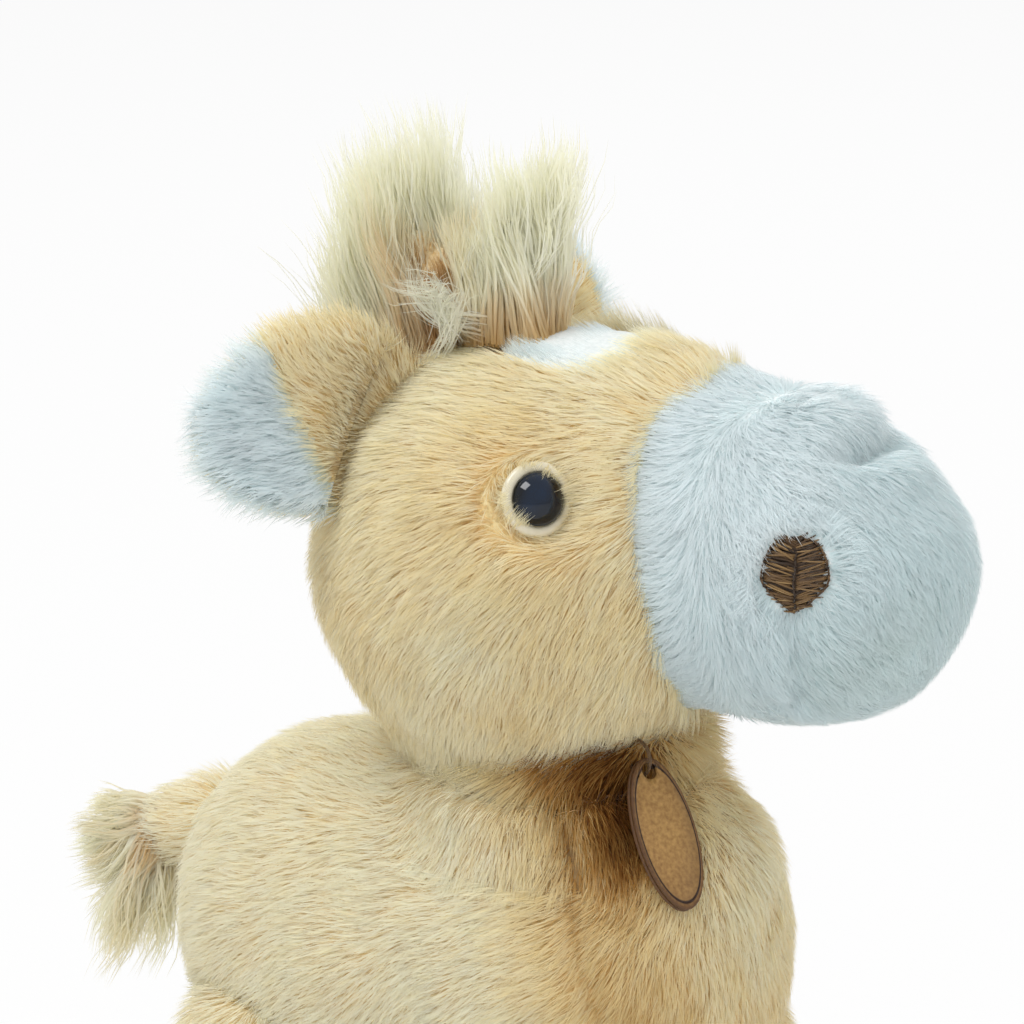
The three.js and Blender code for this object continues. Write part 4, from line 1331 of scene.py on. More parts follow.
def torso_flow(roots, out):
    """Back along the barrel, down its sides and the chest, and outwards round the neck."""
    chest = smoothstep(seam_offset(roots), -14, 14)
    down = np.clip((TORSO_MIDDLE[2] + 40 - roots[:, 2]) / 60, 0, 1)
    way = np.stack([-1 + 0.75 * chest, 0 * chest, -0.15 - 0.7 * down - 0.5 * chest], 1)
    spoke = from_neck_axis(roots)
    reach = length_of(spoke)
    at_neck = (1 - smoothstep(reach, NECK_RADIUS + 4, NECK_RADIUS + 14)) * (roots[:, 2] > 125)
    at_neck = at_neck[:, None]
    return along_skin(unit(way) * (1 - at_neck) + (unit(spoke) - [0, 0, 1]) * at_neck, out)


def torso_trim(roots):
    """Shorter pile over the chest seam."""
    return 1 - 0.5 * bell(seam_offset(roots), 2.2)


def torso_tones(roots):
    """Pale on the back, and tan on the chest, partly its own deeper tan and partly painted shade under
    the head. Painted shade makes the fold under the jaw deep brown, and darkens the pile close under the
    head and along the seam's dip.
    """
    ahead = seam_offset(roots)
    chest = smoothstep(ahead, -26, 6) * (1 - smoothstep(ahead, 8, 32)) * smoothstep(roots[:, 2], 66, 96)
    # Painted shade: deep brown in the fold under the jaw, darker close under the head and along the seam.
    fold_shade = bell(length_of((roots - SHADE_PLACE) / SHADE_SIZE), 1)
    under_head_shade = bell(length_of(roots - CRANIUM) - CRANIUM_RADIUS, 8)
    tone = 0.92 - 0.42 * chest - 0.5 * fold_shade - 0.15 * under_head_shade - 0.16 * bell(ahead, 1.6)
    return np.clip(tone, 0.03, 0.95)


COATS = {
    "back_pile_right": (lambda p: (seam_offset(p) < -0.5) & (p[:, 1] < 0), 300),
    "back_pile_left": (lambda p: (seam_offset(p) < -0.5) & (p[:, 1] >= 0), 310),
    "chest_pile": (lambda p: seam_offset(p) > 0.5, 320),
}
for name, (part, seed) in COATS.items():
    short_pile(name, torso, "torso", TORSO_DENSITY, torso_flow, TORSO_LENGTH, tan_pile,
               torso_tones, seed, pull=0.1, trim=torso_trim, width=TORSO_WIDTH,
               keep=lambda p, n, part=part: in_open_air(p) & part(p))

# %% [markdown]
# ## Pile of neck, legs and tail
# These coats hang straight down, a little back. At its foot the neck's pile stands out more
# and closes the join with the shoulders. On legs and stub it grows outside the torso only.

# %% Pile of neck, legs and tail
def combed(way):
    """A flow combed one way everywhere."""
    return lambda roots, out: along_skin(roots * 0 + way, out)


def neck_sides(points, out):
    """True on the neck's side, above the shoulders."""
    reach = length_of(from_neck_axis(points))
    return (reach > NECK_RADIUS - 0.8) & (points[:, 2] > 138)


short_pile("neck_pile", neck, "neck", 3.0, combed([-0.3, 0, -1.0]), 9.0, tan_pile, torso_tones,
           340, keep=neck_sides, stand=30, rest=5,
           lift=lambda p: 26 * (1 - smoothstep(p[:, 2], 140, 151)))
for index, (name, leg) in enumerate(leg_hides.items()):
    short_pile(f"leg_pile_{name}", leg, f"leg_{name}", 2.8, combed([-0.25, 0, -1.0]), 7.5,
               tan_pile, torso_tones, 360 + index * 10, pull=0.1,
               keep=lambda p, n: (p[:, 2] > LEG_LOW + 1.5) & (outside(torso, p) > 0.6))
short_pile("tail_stub_pile", tail_hide, "tail", 2.0, combed(tail_axis), 8.0, tan_pile,
           torso_tones, 420, keep=lambda p, n: outside(torso, p) > 0.4)

# %% [markdown]
# ## Suede hooves
# Each hoof is a cuff of brown suede round the end of the leg, with a flat sole of the same
# hide set inside it. Suede has a fine nap that takes the light unevenly where it is rubbed,
# so its colour and roughness vary in soft patches, over a fine fibrous bump.

# %% Suede
suede, tree, shader, solid_place, _ = mottled(
    "brown_brushed_suede", 7, 4.0, [(0.25, "#6d4e33"), (0.5, "#86633f"), (0.8, "#a07c55")],
    roughness=(0.95, 0.75), Sheen_Weight=0.35, Sheen_Roughness=0.6)
nap = add_node(tree, "TexNoise", sockets={
    "Vector": solid_place, "Scale": 1 / (0.5 * MM), "Detail": 5.0})
bump = add_node(tree, "Bump", sockets={
    "Height": nap.outputs["Fac"], "Distance": 0.25 * MM, "Strength": 0.7})
tree.links.new(bump.outputs["Normal"], shader.inputs["Normal"])

# %% [markdown]
# ## Cuffs and soles
# A cuff is a closed section turned about the leg, thick at the foot and thin at the top
# where it is sewn on. The sole is a disc with a rounded rim, a little above the cuff's edge.

# %% Hooves
def turned_ring(profile, centre, axis=(0, 0, 1), sides=64):
    """A turned form whose profile closes on itself, round an open middle."""
    profile = np.asarray(profile, float)
    points, _ = lathe(np.vstack([profile[:1], profile, profile[-1:]]), centre, axis, sides)
    return points[:len(profile) * sides], ring_faces(len(profile), sides, closed=True)


hoof_profile = [(14.8, 0.5), (15.2, 0.0), (16.4, 0.0), (16.9, 0.5), (17.1, 2.5), (17.1, 6.0),
                (16.7, 9.5), (15.9, 13.0), (15.0, 15.6), (14.6, 16.8), (14.0, 17.2), (13.2, 17.0),
                (12.4, 16.4), (12.4, 14.6), (13.6, 11.0), (14.6, 7.0), (14.8, 4.0)]
sole_profile = [(0, 0.25), (9, 0.25), (13.4, 0.1), (14.2, 0.4), (14.4, 1.2), (14.2, 2.2),
                (13.4, 2.5), (0, 2.5)]
for name, (x, y) in LEGS.items():
    foot = np.array([x, y, 0.0])
    hoof = new_piece(f"hoof_suede_{name}", *turned_ring(hoof_profile, foot, sides=72), suede)
    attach(hoof, f"leg_{name}")
    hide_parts(f"hoof_{name}")
    sole = new_piece(f"sole_suede_{name}", *lathe(sole_profile, foot, sides=72), suede)
    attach(sole, f"leg_{name}")
    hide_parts(f"sole_{name}")
print("hoof", len(hoof.data.polygons), "faces, sole", len(sole.data.polygons))

# %% [markdown]
# ## Ears
# An ear is two leaves of plush sewn round the edge: a tan back and a white lining. Both are
# cupped sheets, lofted across the leaf, whose thickness swells in the middle and pinches at
# the edge. Where the ear is sewn down, it is cut by the cranium.

# %% Ear leaves
EAR_LENGTH, EAR_HALF_WIDTH, EAR_CUP, EAR_SWAY, EAR_SINK = 47.0, 21.0, 4.0, 9.0, 5.0
EAR_FULLNESS, EDGE_FULLNESS, EAR_GAP = 0.8, 0.6, 0.9
BACK_START, LINING_START = 42, 74
EARS = {
    "right": (-1, (-0.66, -0.62, 0.42), (0.684, -0.692, 0.231), 1),
    "left": (1, (0.5, 0.63, 0.6), (-0.605, 0.628, -0.489), -1),
}
LEAVES = {
    "back": (BACK_START, 0.0, -1.6, 1.5, tan_backing, "ear_back"),
    "lining": (LINING_START, 2.2, 1.8, 4.1, white_backing, "ear_lining"),
}


def leaf(root_angle, inset, low, high, sway, rows=44, columns=28):
    """A cupped leaf between two heights over its middle, along +x from its root."""
    turns = np.radians(root_angle + (180 - root_angle) * np.arange(rows) / rows)
    across, top = np.cos(full_turn(2 * columns)), np.sin(full_turn(2 * columns))
    thick = (high - low) / 2 * np.sign(top) * np.abs(top) ** EDGE_FULLNESS
    rings = []
    for turn_angle in turns:
        share = (1 - math.cos(turn_angle)) / 2
        y = (EAR_HALF_WIDTH * math.sin(turn_angle) ** EAR_FULLNESS - inset) * across
        bend = EAR_CUP * (y / EAR_HALF_WIDTH) ** 2 - EAR_CUP / 2 * share ** 2
        z = bend + (high + low) / 2 + thick
        x = np.full(2 * columns, EAR_LENGTH * share)
        rings.append(np.stack([x, y + sway * share ** 2, z], 1))
    tip = rings[-1].mean(0)
    tip[0] = EAR_LENGTH - inset
    return loft(rings, rings[0].mean(0), tip)


def ear_frame(side, along, face):
    """Where an ear's own drawing starts, and its axes: along, across and out of its face."""
    root = unit(np.array([-0.6, side * 0.5, 0.62])) * (CRANIUM_RADIUS + 0.3) + CRANIUM
    along = unit(along)
    face = unit(np.array(face) - np.dot(face, along) * along)
    cut_off = EAR_LENGTH * (1 - math.cos(math.radians(BACK_START))) / 2
    return root - along * (cut_off + EAR_SINK), np.array([along, np.cross(face, along), face])


ear_axes, ear_pieces = {}, {}
for name, (side, along, face, sway) in EARS.items():
    start, axes = ear_axes[name] = ear_frame(side, along, face)
    for kind, (root_angle, inset, low, high, cloth, node) in LEAVES.items():
        points, faces = leaf(root_angle, inset, low, high, EAR_SWAY * sway)
        piece = new_piece(f"ear_{kind}_hide_{name}", points @ axes + start, faces)
        carve(piece, head_ball(EAR_GAP, 72))
        cover(piece, cloth, tan_backing)
        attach(piece, f"ear_{name}")
        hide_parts(f"{node}_{name}")
        ear_pieces[kind, name] = piece
        print(piece.name, len(piece.data.polygons), "faces")

# %% [markdown]
# ## Pile of the ears
# On both leaves the pile runs from root to tip and fans out, so that it hangs past the seam
# and hides it. None grows where the two leaves meet. The lining's outer band is white, and
# the rest of it is tan like the back. At the root the pile stands up and covers the seam.

# %% Places on an ear
RIM_BAND, BARE_ROOT, ROOT_STANDS = 5, 18, 19
WHITE_ALONG, WHITE_ACROSS, WHITE_FROM, WHITE_TIP = 0.68, 0.73, 22, 40


def ear_place(name, points):
    """Points of the drawing as lengths along an ear, across it and out of its face."""
    start, axes = ear_axes[name]
    return (points - start) @ axes.T


def ear_flow(name):
    """The combing of one ear, as a function of roots and normals."""
    def flow(roots, out):
        fan = ear_place(name, roots) * [0, 0.9 / EAR_HALF_WIDTH, 0] + [0.9, 0, 0]
        return along_skin(fan @ ear_axes[name][1], out)
    return flow


def in_white(name, points):
    """True on the outer band of the lining, which is white plush."""
    local = ear_place(name, points)
    outer = WHITE_ALONG * local[:, 0] + WHITE_ACROSS * local[:, 1] * EARS[name][3]
    return (outer > WHITE_FROM) | (local[:, 0] > WHITE_TIP)


def from_rim(name, points):
    """How far inside the leaf's outline a point is."""
    local = ear_place(name, points)
    share = np.clip(local[:, 0] / EAR_LENGTH, 0.01, 0.99)
    half = EAR_HALF_WIDTH * np.sin(np.arccos(1 - 2 * share)) ** EAR_FULLNESS
    beside = half - np.abs(local[:, 1] - EAR_SWAY * EARS[name][3] * share ** 2)
    return np.minimum(beside, EAR_LENGTH - local[:, 0])


def off_head(points):
    """True where a point is clear of the cranium."""
    return length_of(points - CRANIUM) - CRANIUM_RADIUS > EAR_GAP


def on_back(name, points, out):
    """Where the back leaf shows: its back face, and its front face below the lining."""
    facing = out @ ear_axes[name][1][2]
    tan_rim = (from_rim(name, points) < RIM_BAND) & ~in_white(name, points)
    bare = ear_place(name, points)[:, 0] < BARE_ROOT
    return ((facing < 0) | tan_rim | bare) & off_head(points)


def on_lining(name, points, out):
    """Where the lining shows: its face and its edge."""
    return (out @ ear_axes[name][1][2] > -0.35) & off_head(points)


def on_white_rim(name, points, out):
    """The edge of the back leaf's front face, beside the white band."""
    facing = out @ ear_axes[name][1][2]
    return (from_rim(name, points) < RIM_BAND) & in_white(name, points) & (facing > 0.1)


# %% [markdown]
# ## Four coats on each ear
# They are the tan of the back, the white of the lining, a white fringe on the rim beside
# it, and the tan of the lining. Pile on the lining stands up more than elsewhere.

# %% Ear pile
for name in EARS:
    lining = ear_pieces["lining", name].data
    middles = np.array([face.center[:] for face in lining.polygons]) / MM - SHIFT
    lining.polygons.foreach_set("material_index", (~in_white(name, middles)).astype(int))
for index, name in enumerate(EARS):
    back, lining = ear_pieces["back", name], ear_pieces["lining", name]
    body, flow, seed = f"ear_{name}", ear_flow(name), 500 + 30 * index
    short_pile(f"ear_back_pile_{name}", back, body, 3.4, flow, 8.0, tan_pile, 0.7, seed,
               lift=lambda p, e=name: 16 * (ear_place(e, p)[:, 0] < ROOT_STANDS),
               trim=lambda p, e=name: 1 - 0.6 * ((from_rim(e, p) < 7) & in_white(e, p)),
               keep=partial(on_back, name))
    short_pile(f"ear_white_pile_{name}", lining, body, 4.2, flow, 8.5, white_pile, 0.8, seed + 10,
               stand=50, rest=15, keep=lambda p, n, e=name: on_lining(e, p, n) & in_white(e, p))
    short_pile(f"ear_rim_pile_{name}", back, body, 4.5, flow, 7.5, white_pile, 0.8, seed + 15,
               stand=30, rest=5, keep=partial(on_white_rim, name))
    short_pile(f"ear_tan_pile_{name}", lining, body, 3.4, flow, 8.5, tan_pile, 0.76, seed + 20,
               stand=45, rest=10,
               lift=lambda p, e=name: 26 * (1 - smoothstep(ear_place(e, p)[:, 0], 17, 26)),
               keep=lambda p, n, e=name: on_lining(e, p, n) & ~in_white(e, p))

# %% [markdown]
# ## Long pile: the mane and the tail's tuft
# Long pile bunches into wavy locks. Each has a middle line that fans out from its root, and a
# hundred or so strands that start spread over the backing and draw together at its tip. A
# strand waves with its lock and a little by itself. Roots are brown and tips pale.

# %% Locks of long pile
WAVE_SHORTEST, WAVE_LONGEST = 16, 30
OWN_STRAY, OWN_TONE, LOCK_TONE = 0.06, 0.05, 0.04


def lock_lines(rng, roots, ways, outs, lengths, per_lock, spread, steps, wave, droop, close):
    """Centre lines of all strands, their offsets in their locks, and their locks' numbers."""
    count = len(roots)
    lock = np.repeat(np.arange(count), per_lock)
    total = len(lock)
    way = unit(ways)[lock]
    beside = unit(np.cross(way, unit(outs)[lock] + rng.normal(0, 0.01, (total, 3))))
    other = np.cross(way, beside)
    angle = rng.uniform(0, 2 * math.pi, total)
    radius = spread * np.sqrt(rng.random(total))
    offset = beside * (np.cos(angle) * radius)[:, None] + other * (np.sin(angle) * radius)[:, None]
    length = lengths[lock] * rng.uniform(0.7, 1.06, total)
    phase = rng.uniform(0, 2 * math.pi, count)[lock] + rng.normal(0, 0.5, total)
    pitch = rng.uniform(WAVE_SHORTEST, WAVE_LONGEST, count)[lock]
    own = rng.normal(0, 1, (total, 2)) * OWN_STRAY
    lines = np.empty((total, steps + 1, 3))
    for k, share in enumerate(np.linspace(0, 1, steps + 1)):
        gone = share * length
        curl = wave * share ** 0.8
        swing = np.sin(gone / pitch * 2 * math.pi + phase) * curl
        sway = np.cos(gone / pitch * 2 * math.pi + phase * 1.3) * curl * 0.6
        point = roots[lock] + offset * (1 - close * share ** 1.3) + way * gone[:, None]
        point += beside * (swing + own[:, 0] * gone)[:, None]
        point += other * (sway + own[:, 1] * gone)[:, None]
        point[:, 2] -= droop * share ** 2 * length
        lines[:, k] = point
    return lines, offset, lock


def long_pile(name, body, roots, ways, outs, lengths, per_lock, spread, material, seed,
              steps=8, width=0.5, wave=1.6, droop=0.0, tone=0.6, close=0.75):
    """Locks of wavy strands, spread round their roots and closing towards their tips."""
    rng = np.random.default_rng(seed)
    lines, offset, lock = lock_lines(
        rng, roots, ways, outs, lengths, per_lock, spread, steps, wave, droop, close)
    count, total = len(roots), len(lock)
    face = unit(offset * 0.12 + unit(outs)[lock] + rng.normal(0, 0.1, (total, 3)))
    shade = np.broadcast_to(tone, count)[lock] + rng.normal(0, LOCK_TONE, count)[lock]
    shade = shade + rng.normal(0, OWN_TONE, total)
    thick = width * rng.uniform(0.6, 1.2, total)
    piece = ribbons(name, lines, face, thick, shade, material, seed + 1, soften=0.97, roll=22)
    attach(piece, body)
    return piece


# %% [markdown]
# ## The mane
# The mane is sewn along a strip from the poll down the nape. Its lean and length change along
# the strip, as in the photograph. Locks fan out to both sides, and thin wisps stray further.
# On the right they stop short and take a deeper tone round a hollow, and small curls fall
# over the poll.

# %% Mane
MANE_SEAT = CRANIUM_RADIUS + 1.9
MANE_FROM, MANE_TURN, MANE_HALF_WIDTH, MANE_FAN = 3, 82, 6.0, 11
MANE_LENGTHS = [(0, 40), (0.08, 44), (0.13, 42), (0.19, 27), (0.25, 46), (0.42, 57), (0.6, 53),
                (0.8, 38), (1, 26)]
MANE_LEANS = [(0, -1), (0.14, 2), (0.22, -9), (0.5, -11), (0.65, -6), (1, -2)]
HOLLOW_AT, HOLLOW_REACH, HOLLOW_DEPTH = 0.34, 0.11, 0.62
CURLS = 12


def mane_row(share, side):
    """Root, lean and length of the mane at a share of the way from the poll down the nape."""
    turn_back = np.radians(MANE_FROM - MANE_TURN * share)
    roots = CRANIUM + np.stack([MANE_SEAT * np.sin(turn_back), side * MANE_HALF_WIDTH,
                                MANE_SEAT * np.cos(turn_back)], 1)
    lean = np.radians(np.interp(share, *zip(*MANE_LEANS)))
    return roots, lean, np.interp(share, *zip(*MANE_LENGTHS))


def mane_locks(seed, count, stray_lean=4, stray_side=4):
    """Roots over the poll and nape, with the way each lock fans out, its length and its tone."""
    rng = np.random.default_rng(seed)
    share, side = rng.random(count), rng.uniform(-1, 1, count)
    roots, lean, lengths = mane_row(share, side)
    lean = lean + np.radians(rng.normal(0, stray_lean, count))
    spread = np.radians(side * MANE_FAN + rng.normal(0, stray_side, count))
    ways = np.stack([np.sin(lean), np.sin(spread), np.cos(lean) * np.cos(spread)], 1)
    hollow = HOLLOW_DEPTH * bell(share - HOLLOW_AT, HOLLOW_REACH) * (side < -0.1)
    lengths = lengths * rng.uniform(0.82, 1.05, count) * (1 - hollow)
    outs = np.stack([0.25 * np.sin(lean), side * 0.8 + 0.2 * np.sign(side), 0.1 + 0 * side], 1)
    return roots, ways, outs, lengths, 0.8 - hollow


roots, ways, outs, lengths, tone = mane_locks(600, 105)
mane = long_pile("mane_locks", "head", roots, ways, outs, lengths, 125, 4.3, cream_pile, 610,
                 width=0.55, wave=1.4, tone=tone, close=0.97)
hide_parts("mane_hair")
roots, ways, outs, lengths, tone = mane_locks(630, 16, 17, 9)
long_pile("mane_wisps", "head", roots, ways, outs, lengths, 14, 3.0, cream_pile, 640,
          width=0.35, wave=2.0, tone=0.85, close=0.9)
roots, _, _ = mane_row(np.linspace(0.12, 0.42, CURLS), np.full(CURLS, -1.0))
ways = np.stack([np.sin(np.linspace(-1.2, 1.2, CURLS)), np.full(CURLS, -0.75),
                 np.full(CURLS, 0.75)], 1)
long_pile("mane_curls", "head", roots, ways, np.tile([0.0, -1.0, 0.3], (CURLS, 1)),
          np.full(CURLS, 27.0), 18, 2.6, cream_pile, 660, width=0.4, wave=3.6, tone=0.9, close=0.8)

# %% [markdown]
# ## What lies under the mane
# Between the locks one would look through to the far side, so a core of matted underfur
# stands inside them, half their height. The strip is a woven tape bent over the cranium.

# %% Underfur and backing strip of the mane
CORE_SIDES, CORE_LOOPS, CORE_WIDTH, CORE_SHARE = 32, 36, 6.4, 0.5
STRIP_SECTION = [(7.2, 0.3), (7.5, 0.8), (7.2, 1.4), (-7.2, 1.4), (-7.5, 0.8), (-7.2, 0.3)]


def closed_loft(rings):
    """A loft that closes on the middles of its first and last ring."""
    rings = np.array(rings)
    return loft(rings, rings[0].mean(0), rings[-1].mean(0))


rings = []
angles = full_turn(CORE_SIDES)
for share in np.linspace(0, 1, CORE_LOOPS):
    root, lean, length = mane_row(np.array([share]), np.array([0.0]))
    fade = math.sin(math.pi * (0.06 + 0.88 * share)) ** 0.35
    way = np.array([math.sin(lean[0]), 0, math.cos(lean[0])])
    height = CORE_SHARE * length[0] * fade * (1 - np.cos(angles)) / 2
    rings.append(root + height[:, None] * way + (CORE_WIDTH * fade * np.sin(angles))[:, None] * [0, 1, 0])
core = new_piece("mane_underfur", *closed_loft(rings), underfur)
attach(core, "head")

rings = []
for turn_back in np.radians(np.linspace(-MANE_TURN, MANE_FROM, 40)):
    outward = np.array([math.sin(turn_back), 0, math.cos(turn_back)])
    rings.append([CRANIUM + outward * (CRANIUM_RADIUS + lift) + [0, y, 0]
                  for y, lift in STRIP_SECTION])
strip = new_piece("mane_strip", *closed_loft(rings), cream_backing)
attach(strip, "head")
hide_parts("mane_backing")
print("core of the mane", len(core.data.polygons), "faces")

# %% [markdown]
# ## The tail's tuft
# The tuft springs from the end of the stub in a fan of locks, the lower ones longer. All
# sink a little under their own weight, and a core of underfur fills them.

# %% Tuft of the tail
TUFT_LOCKS, TUFT_START = 46, 14.5
rng = np.random.default_rng(700)
share = rng.random(TUFT_LOCKS)
dip = np.radians(30 + 58 * (2 * share - 1) + rng.normal(0, 7, TUFT_LOCKS))
yaw = np.radians(rng.uniform(-38, 38, TUFT_LOCKS))
end = TAIL_ROOT + tail_axis * TUFT_START
ways = np.stack([-np.cos(TAIL_DROOP + dip) * np.cos(yaw), np.sin(yaw), -np.sin(TAIL_DROOP + dip)], 1)
roots = end + rng.normal(0, 1.6, (TUFT_LOCKS, 3))
lengths = (19 + 14 * share) * rng.uniform(0.85, 1.1, TUFT_LOCKS)
outs = np.stack([0 * yaw, np.sign(yaw), 0.2 + 0 * yaw], 1)
tuft = long_pile("tail_locks", "tail", roots, ways, outs, lengths, 80, 4.5, cream_pile, 710,
                 steps=7, width=0.55, droop=0.12, tone=0.66, close=0.8)
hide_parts("tail_tuft")

drop_profile = [(6.5 * math.sin(a) * (1 - 0.2 * math.cos(a)), -9.0 * math.cos(a))
                for a in np.linspace(0, math.pi, 20)]
core = new_piece("tail_underfur", *lathe(
    drop_profile, end + np.array([-6.5, 0, -5.5]), (-0.8, 0, -0.6), 40), underfur)
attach(core, "tail")

# %% [markdown]
# ## The forehead blaze
# A soft white bar is let into the forehead. It is a small panel of white plush with a hide
# of its own, laid on the head like a low cushion. Its pile stands up more than the tan
# round it, which makes its edge soft.

# %% Blaze
SWELL = [(0.25, 2.8), (0.5, 2.7), (0.72, 2.3), (0.86, 1.6), (0.95, 0.7), (1.0, -0.2)]
UNDERSIDE = [(0.98, -1.2), (0.6, -1.2), (0.25, -1.2)]
BLAZE_SIDES = 60


def blaze_height(along, side):
    """The head's own surface above a place along the nose and to the side."""
    wide, high, _ = head_section(along)
    return high * np.sqrt(np.maximum(0, 1 - (side / wide) ** 2)) + brow_rise(along, side)


def blaze_ring(share, lift):
    """A ring at a share of the blaze's outline, lifted off the head."""
    angles = full_turn(BLAZE_SIDES)
    around = np.abs(np.cos(angles)) ** BLAZE_SQUARE + np.abs(np.sin(angles)) ** BLAZE_SQUARE
    reach = share / around ** (1 / BLAZE_SQUARE)
    along = BLAZE_ALONG + BLAZE_HALF_LENGTH * reach * np.cos(angles)
    side = BLAZE_HALF_WIDTH * reach * np.sin(angles)
    return np.stack([along, side, blaze_height(along, side) + lift], 1)


rings = [blaze_ring(share, lift) for share, lift in SWELL + UNDERSIDE]
middle_height = blaze_height(np.array([BLAZE_ALONG]), np.array([0.0]))[0]
points, faces = loft(rings, (BLAZE_ALONG, 0, middle_height + SWELL[0][1]),
                     (BLAZE_ALONG, 0, middle_height + UNDERSIDE[-1][1]))
blaze = new_piece("blaze_hide", from_head(points), faces, white_backing)
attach(blaze, "head")
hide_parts("forehead_blaze")
short_pile("blaze_pile", blaze, "head", 5.0, head_flow, 8.0, white_pile, 0.95, 800,
           keep=lambda p, n: (blaze_share(p) < 1) & (n[:, 2] > 0), stand=58, rest=12,
           trim=lambda p: 0.55 + 0.45 * smoothstep(to_head(p)[:, 0], BLAZE_ALONG - 15, BLAZE_ALONG - 5))

# %% [markdown]
# ## Safety eyes
# A cream moulded ring frames a navy dome of glossy acrylic. The dome's shank goes through
# ring and cloth, and a washer locks it behind. Plastic looks moulded when its rounded edges
# catch the light, so ring and dome are turned from rounded profiles.

# %% Plastics of the eyes
ring_plastic = mottled(
    "cream_moulded_abs", 4, 2.0, [(0.3, "#d8cfb2"), (0.7, "#e6dec6")], roughness=(0.2, 0.3),
    IOR=1.53, Coat_Weight=0.5, Coat_Roughness=0.06)[0]
dome_acrylic = mottled(
    "navy_polished_acrylic", 6, 1.0, [(0.3, "#020812"), (0.7, "#0a2038")],
    roughness=(0.05, 0.08), IOR=1.49, Specular_IOR_Level=0.5)[0]
washer_nylon = mottled(
    "white_moulded_nylon", 1.5, 3.0, [(0.3, "#d6d6d0"), (0.7, "#e4e4de")], IOR=1.53,
    Roughness=0.5)[0]

# %% [markdown]
# ## Ring, dome and washer
# The dome is part of a ball on a short straight rim that sits in the ring's recess. The
# frame's washers have the right shape, and only get their nylon here.

# %% Eyes
RING_BORE, RING_SEAT, DOME_RADIUS, DOME_HEIGHT = 2.4, 5.9, 5.7, 3.4
ring_profile = [(RING_BORE, 0.3), (7.4, 0.3), (7.9, 0.45), (8.15, 0.8), (8.2, 1.2), (8.1, 1.6),
                (7.8, 2.0), (7.3, 2.25), (6.8, 2.3), (6.35, 2.15), (6.0, 1.85), (RING_SEAT, 1.5),
                (RING_SEAT, 1.1), (5.8, 1.0), (RING_BORE, 1.0)]
DOME_SEAT, DOME_RIM, SHANK_END, EYE_SIDES = 1.3, 0.8, -13, 96
dome_curve = (DOME_RADIUS ** 2 + DOME_HEIGHT ** 2) / (2 * DOME_HEIGHT)
dome_top = DOME_SEAT + DOME_RIM + DOME_HEIGHT
dome_arc = [(dome_curve * math.sin(a), dome_top - dome_curve * (1 - math.cos(a)))
            for a in np.linspace(math.asin(DOME_RADIUS / dome_curve), 0, 22)]
dome_profile = [(0, SHANK_END), (1.7, SHANK_END), (2.0, SHANK_END + 0.4), (2.0, DOME_SEAT),
                (5.4, DOME_SEAT), (5.65, DOME_SEAT + 0.25)] + dome_arc
for name, side in (("right", -1), ("left", 1)):
    look, seat = eye_seat(side)
    ring = new_piece(f"eye_ring_moulded_{name}",
                     *turned_ring(ring_profile, seat, look, EYE_SIDES), ring_plastic)
    dome = new_piece(f"eye_dome_polished_{name}",
                     *lathe(dome_profile, seat, look, EYE_SIDES), dome_acrylic)
    for piece, node in ((ring, "eye_ring"), (dome, "eye_dome")):
        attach(piece, "head")
        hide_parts(f"{node}_{name}")
    cover(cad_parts[f"eye_washer_{name}"], washer_nylon)
print("eyes", 2 * DOME_RADIUS, "mm across, in rings of", 2 * RING_RADIUS, "mm")

# %% [markdown]
# ## Embroidered nostrils
# A nostril is a pad of satin stitch in brown thread: two fans of straight stitches that
# meet on a spine, inside an outline of short ones. Satin thread is loosely twisted and
# shines along its length. Each stitch is a little tube of its own, with its own tone.

# %% Satin thread
THREAD = 0.42
satin = mapped(
    "brown_satin_thread", [(0.0, "#23150a"), (0.35, "#5b4226"), (0.7, "#86683f"), (1.0, "#ab8c5e")],
    (0.45, 0.6), Sheen_Weight=0.3, Sheen_Roughness=0.3, Specular_IOR_Level=0.5)[0]


def tubes(name, lines, radii, tones, material, sides=6):
    """Round threads along centre lines of the same number of points, as one mesh."""
    lines = np.asarray(lines, float)
    count, stations = lines.shape[:2]
    tangents = unit(np.gradient(lines, axis=1))
    helper = unit(np.cross(tangents, [0.31, 0.52, 0.79]))
    other = np.cross(tangents, helper)
    angles = full_turn(sides)
    spokes = helper[:, :, None] * np.cos(angles)[:, None] + other[:, :, None] * np.sin(angles)[:, None]
    points = lines[:, :, None] + spokes * np.asarray(radii)[:, :, None, None]
    forms = [loft(tube, line[0], line[-1]) for tube, line in zip(points, lines)]
    piece = new_piece(name, *together(forms), material)
    owner, inside = np.divmod(np.arange(len(piece.data.vertices)), stations * sides + 2)
    along = np.clip(inside // sides / (stations - 1), 0, 1) * 0.9 + 0.05
    around = (inside % sides) / sides * 0.012
    tone = np.clip(np.asarray(tones)[owner], 0.02, 0.97)
    set_map(piece.data, np.stack([tone + around, along], 1))
    return piece


# %% [markdown]
# ## Laying out the stitches
# The pad's outline is a rounded pentagon with its point down. A ray from in front finds
# where a stitch goes into the muzzle, and between its ends the stitch arches over the pile.

# %% The pad's outline, and one stitch
PAD_CORNER, PAD_ROUND, PAD_DROP = math.radians(72), 0.55, 0.12
RAY_START, STITCH_SINK, STITCH_FULLNESS = 12, 0.3, 0.6


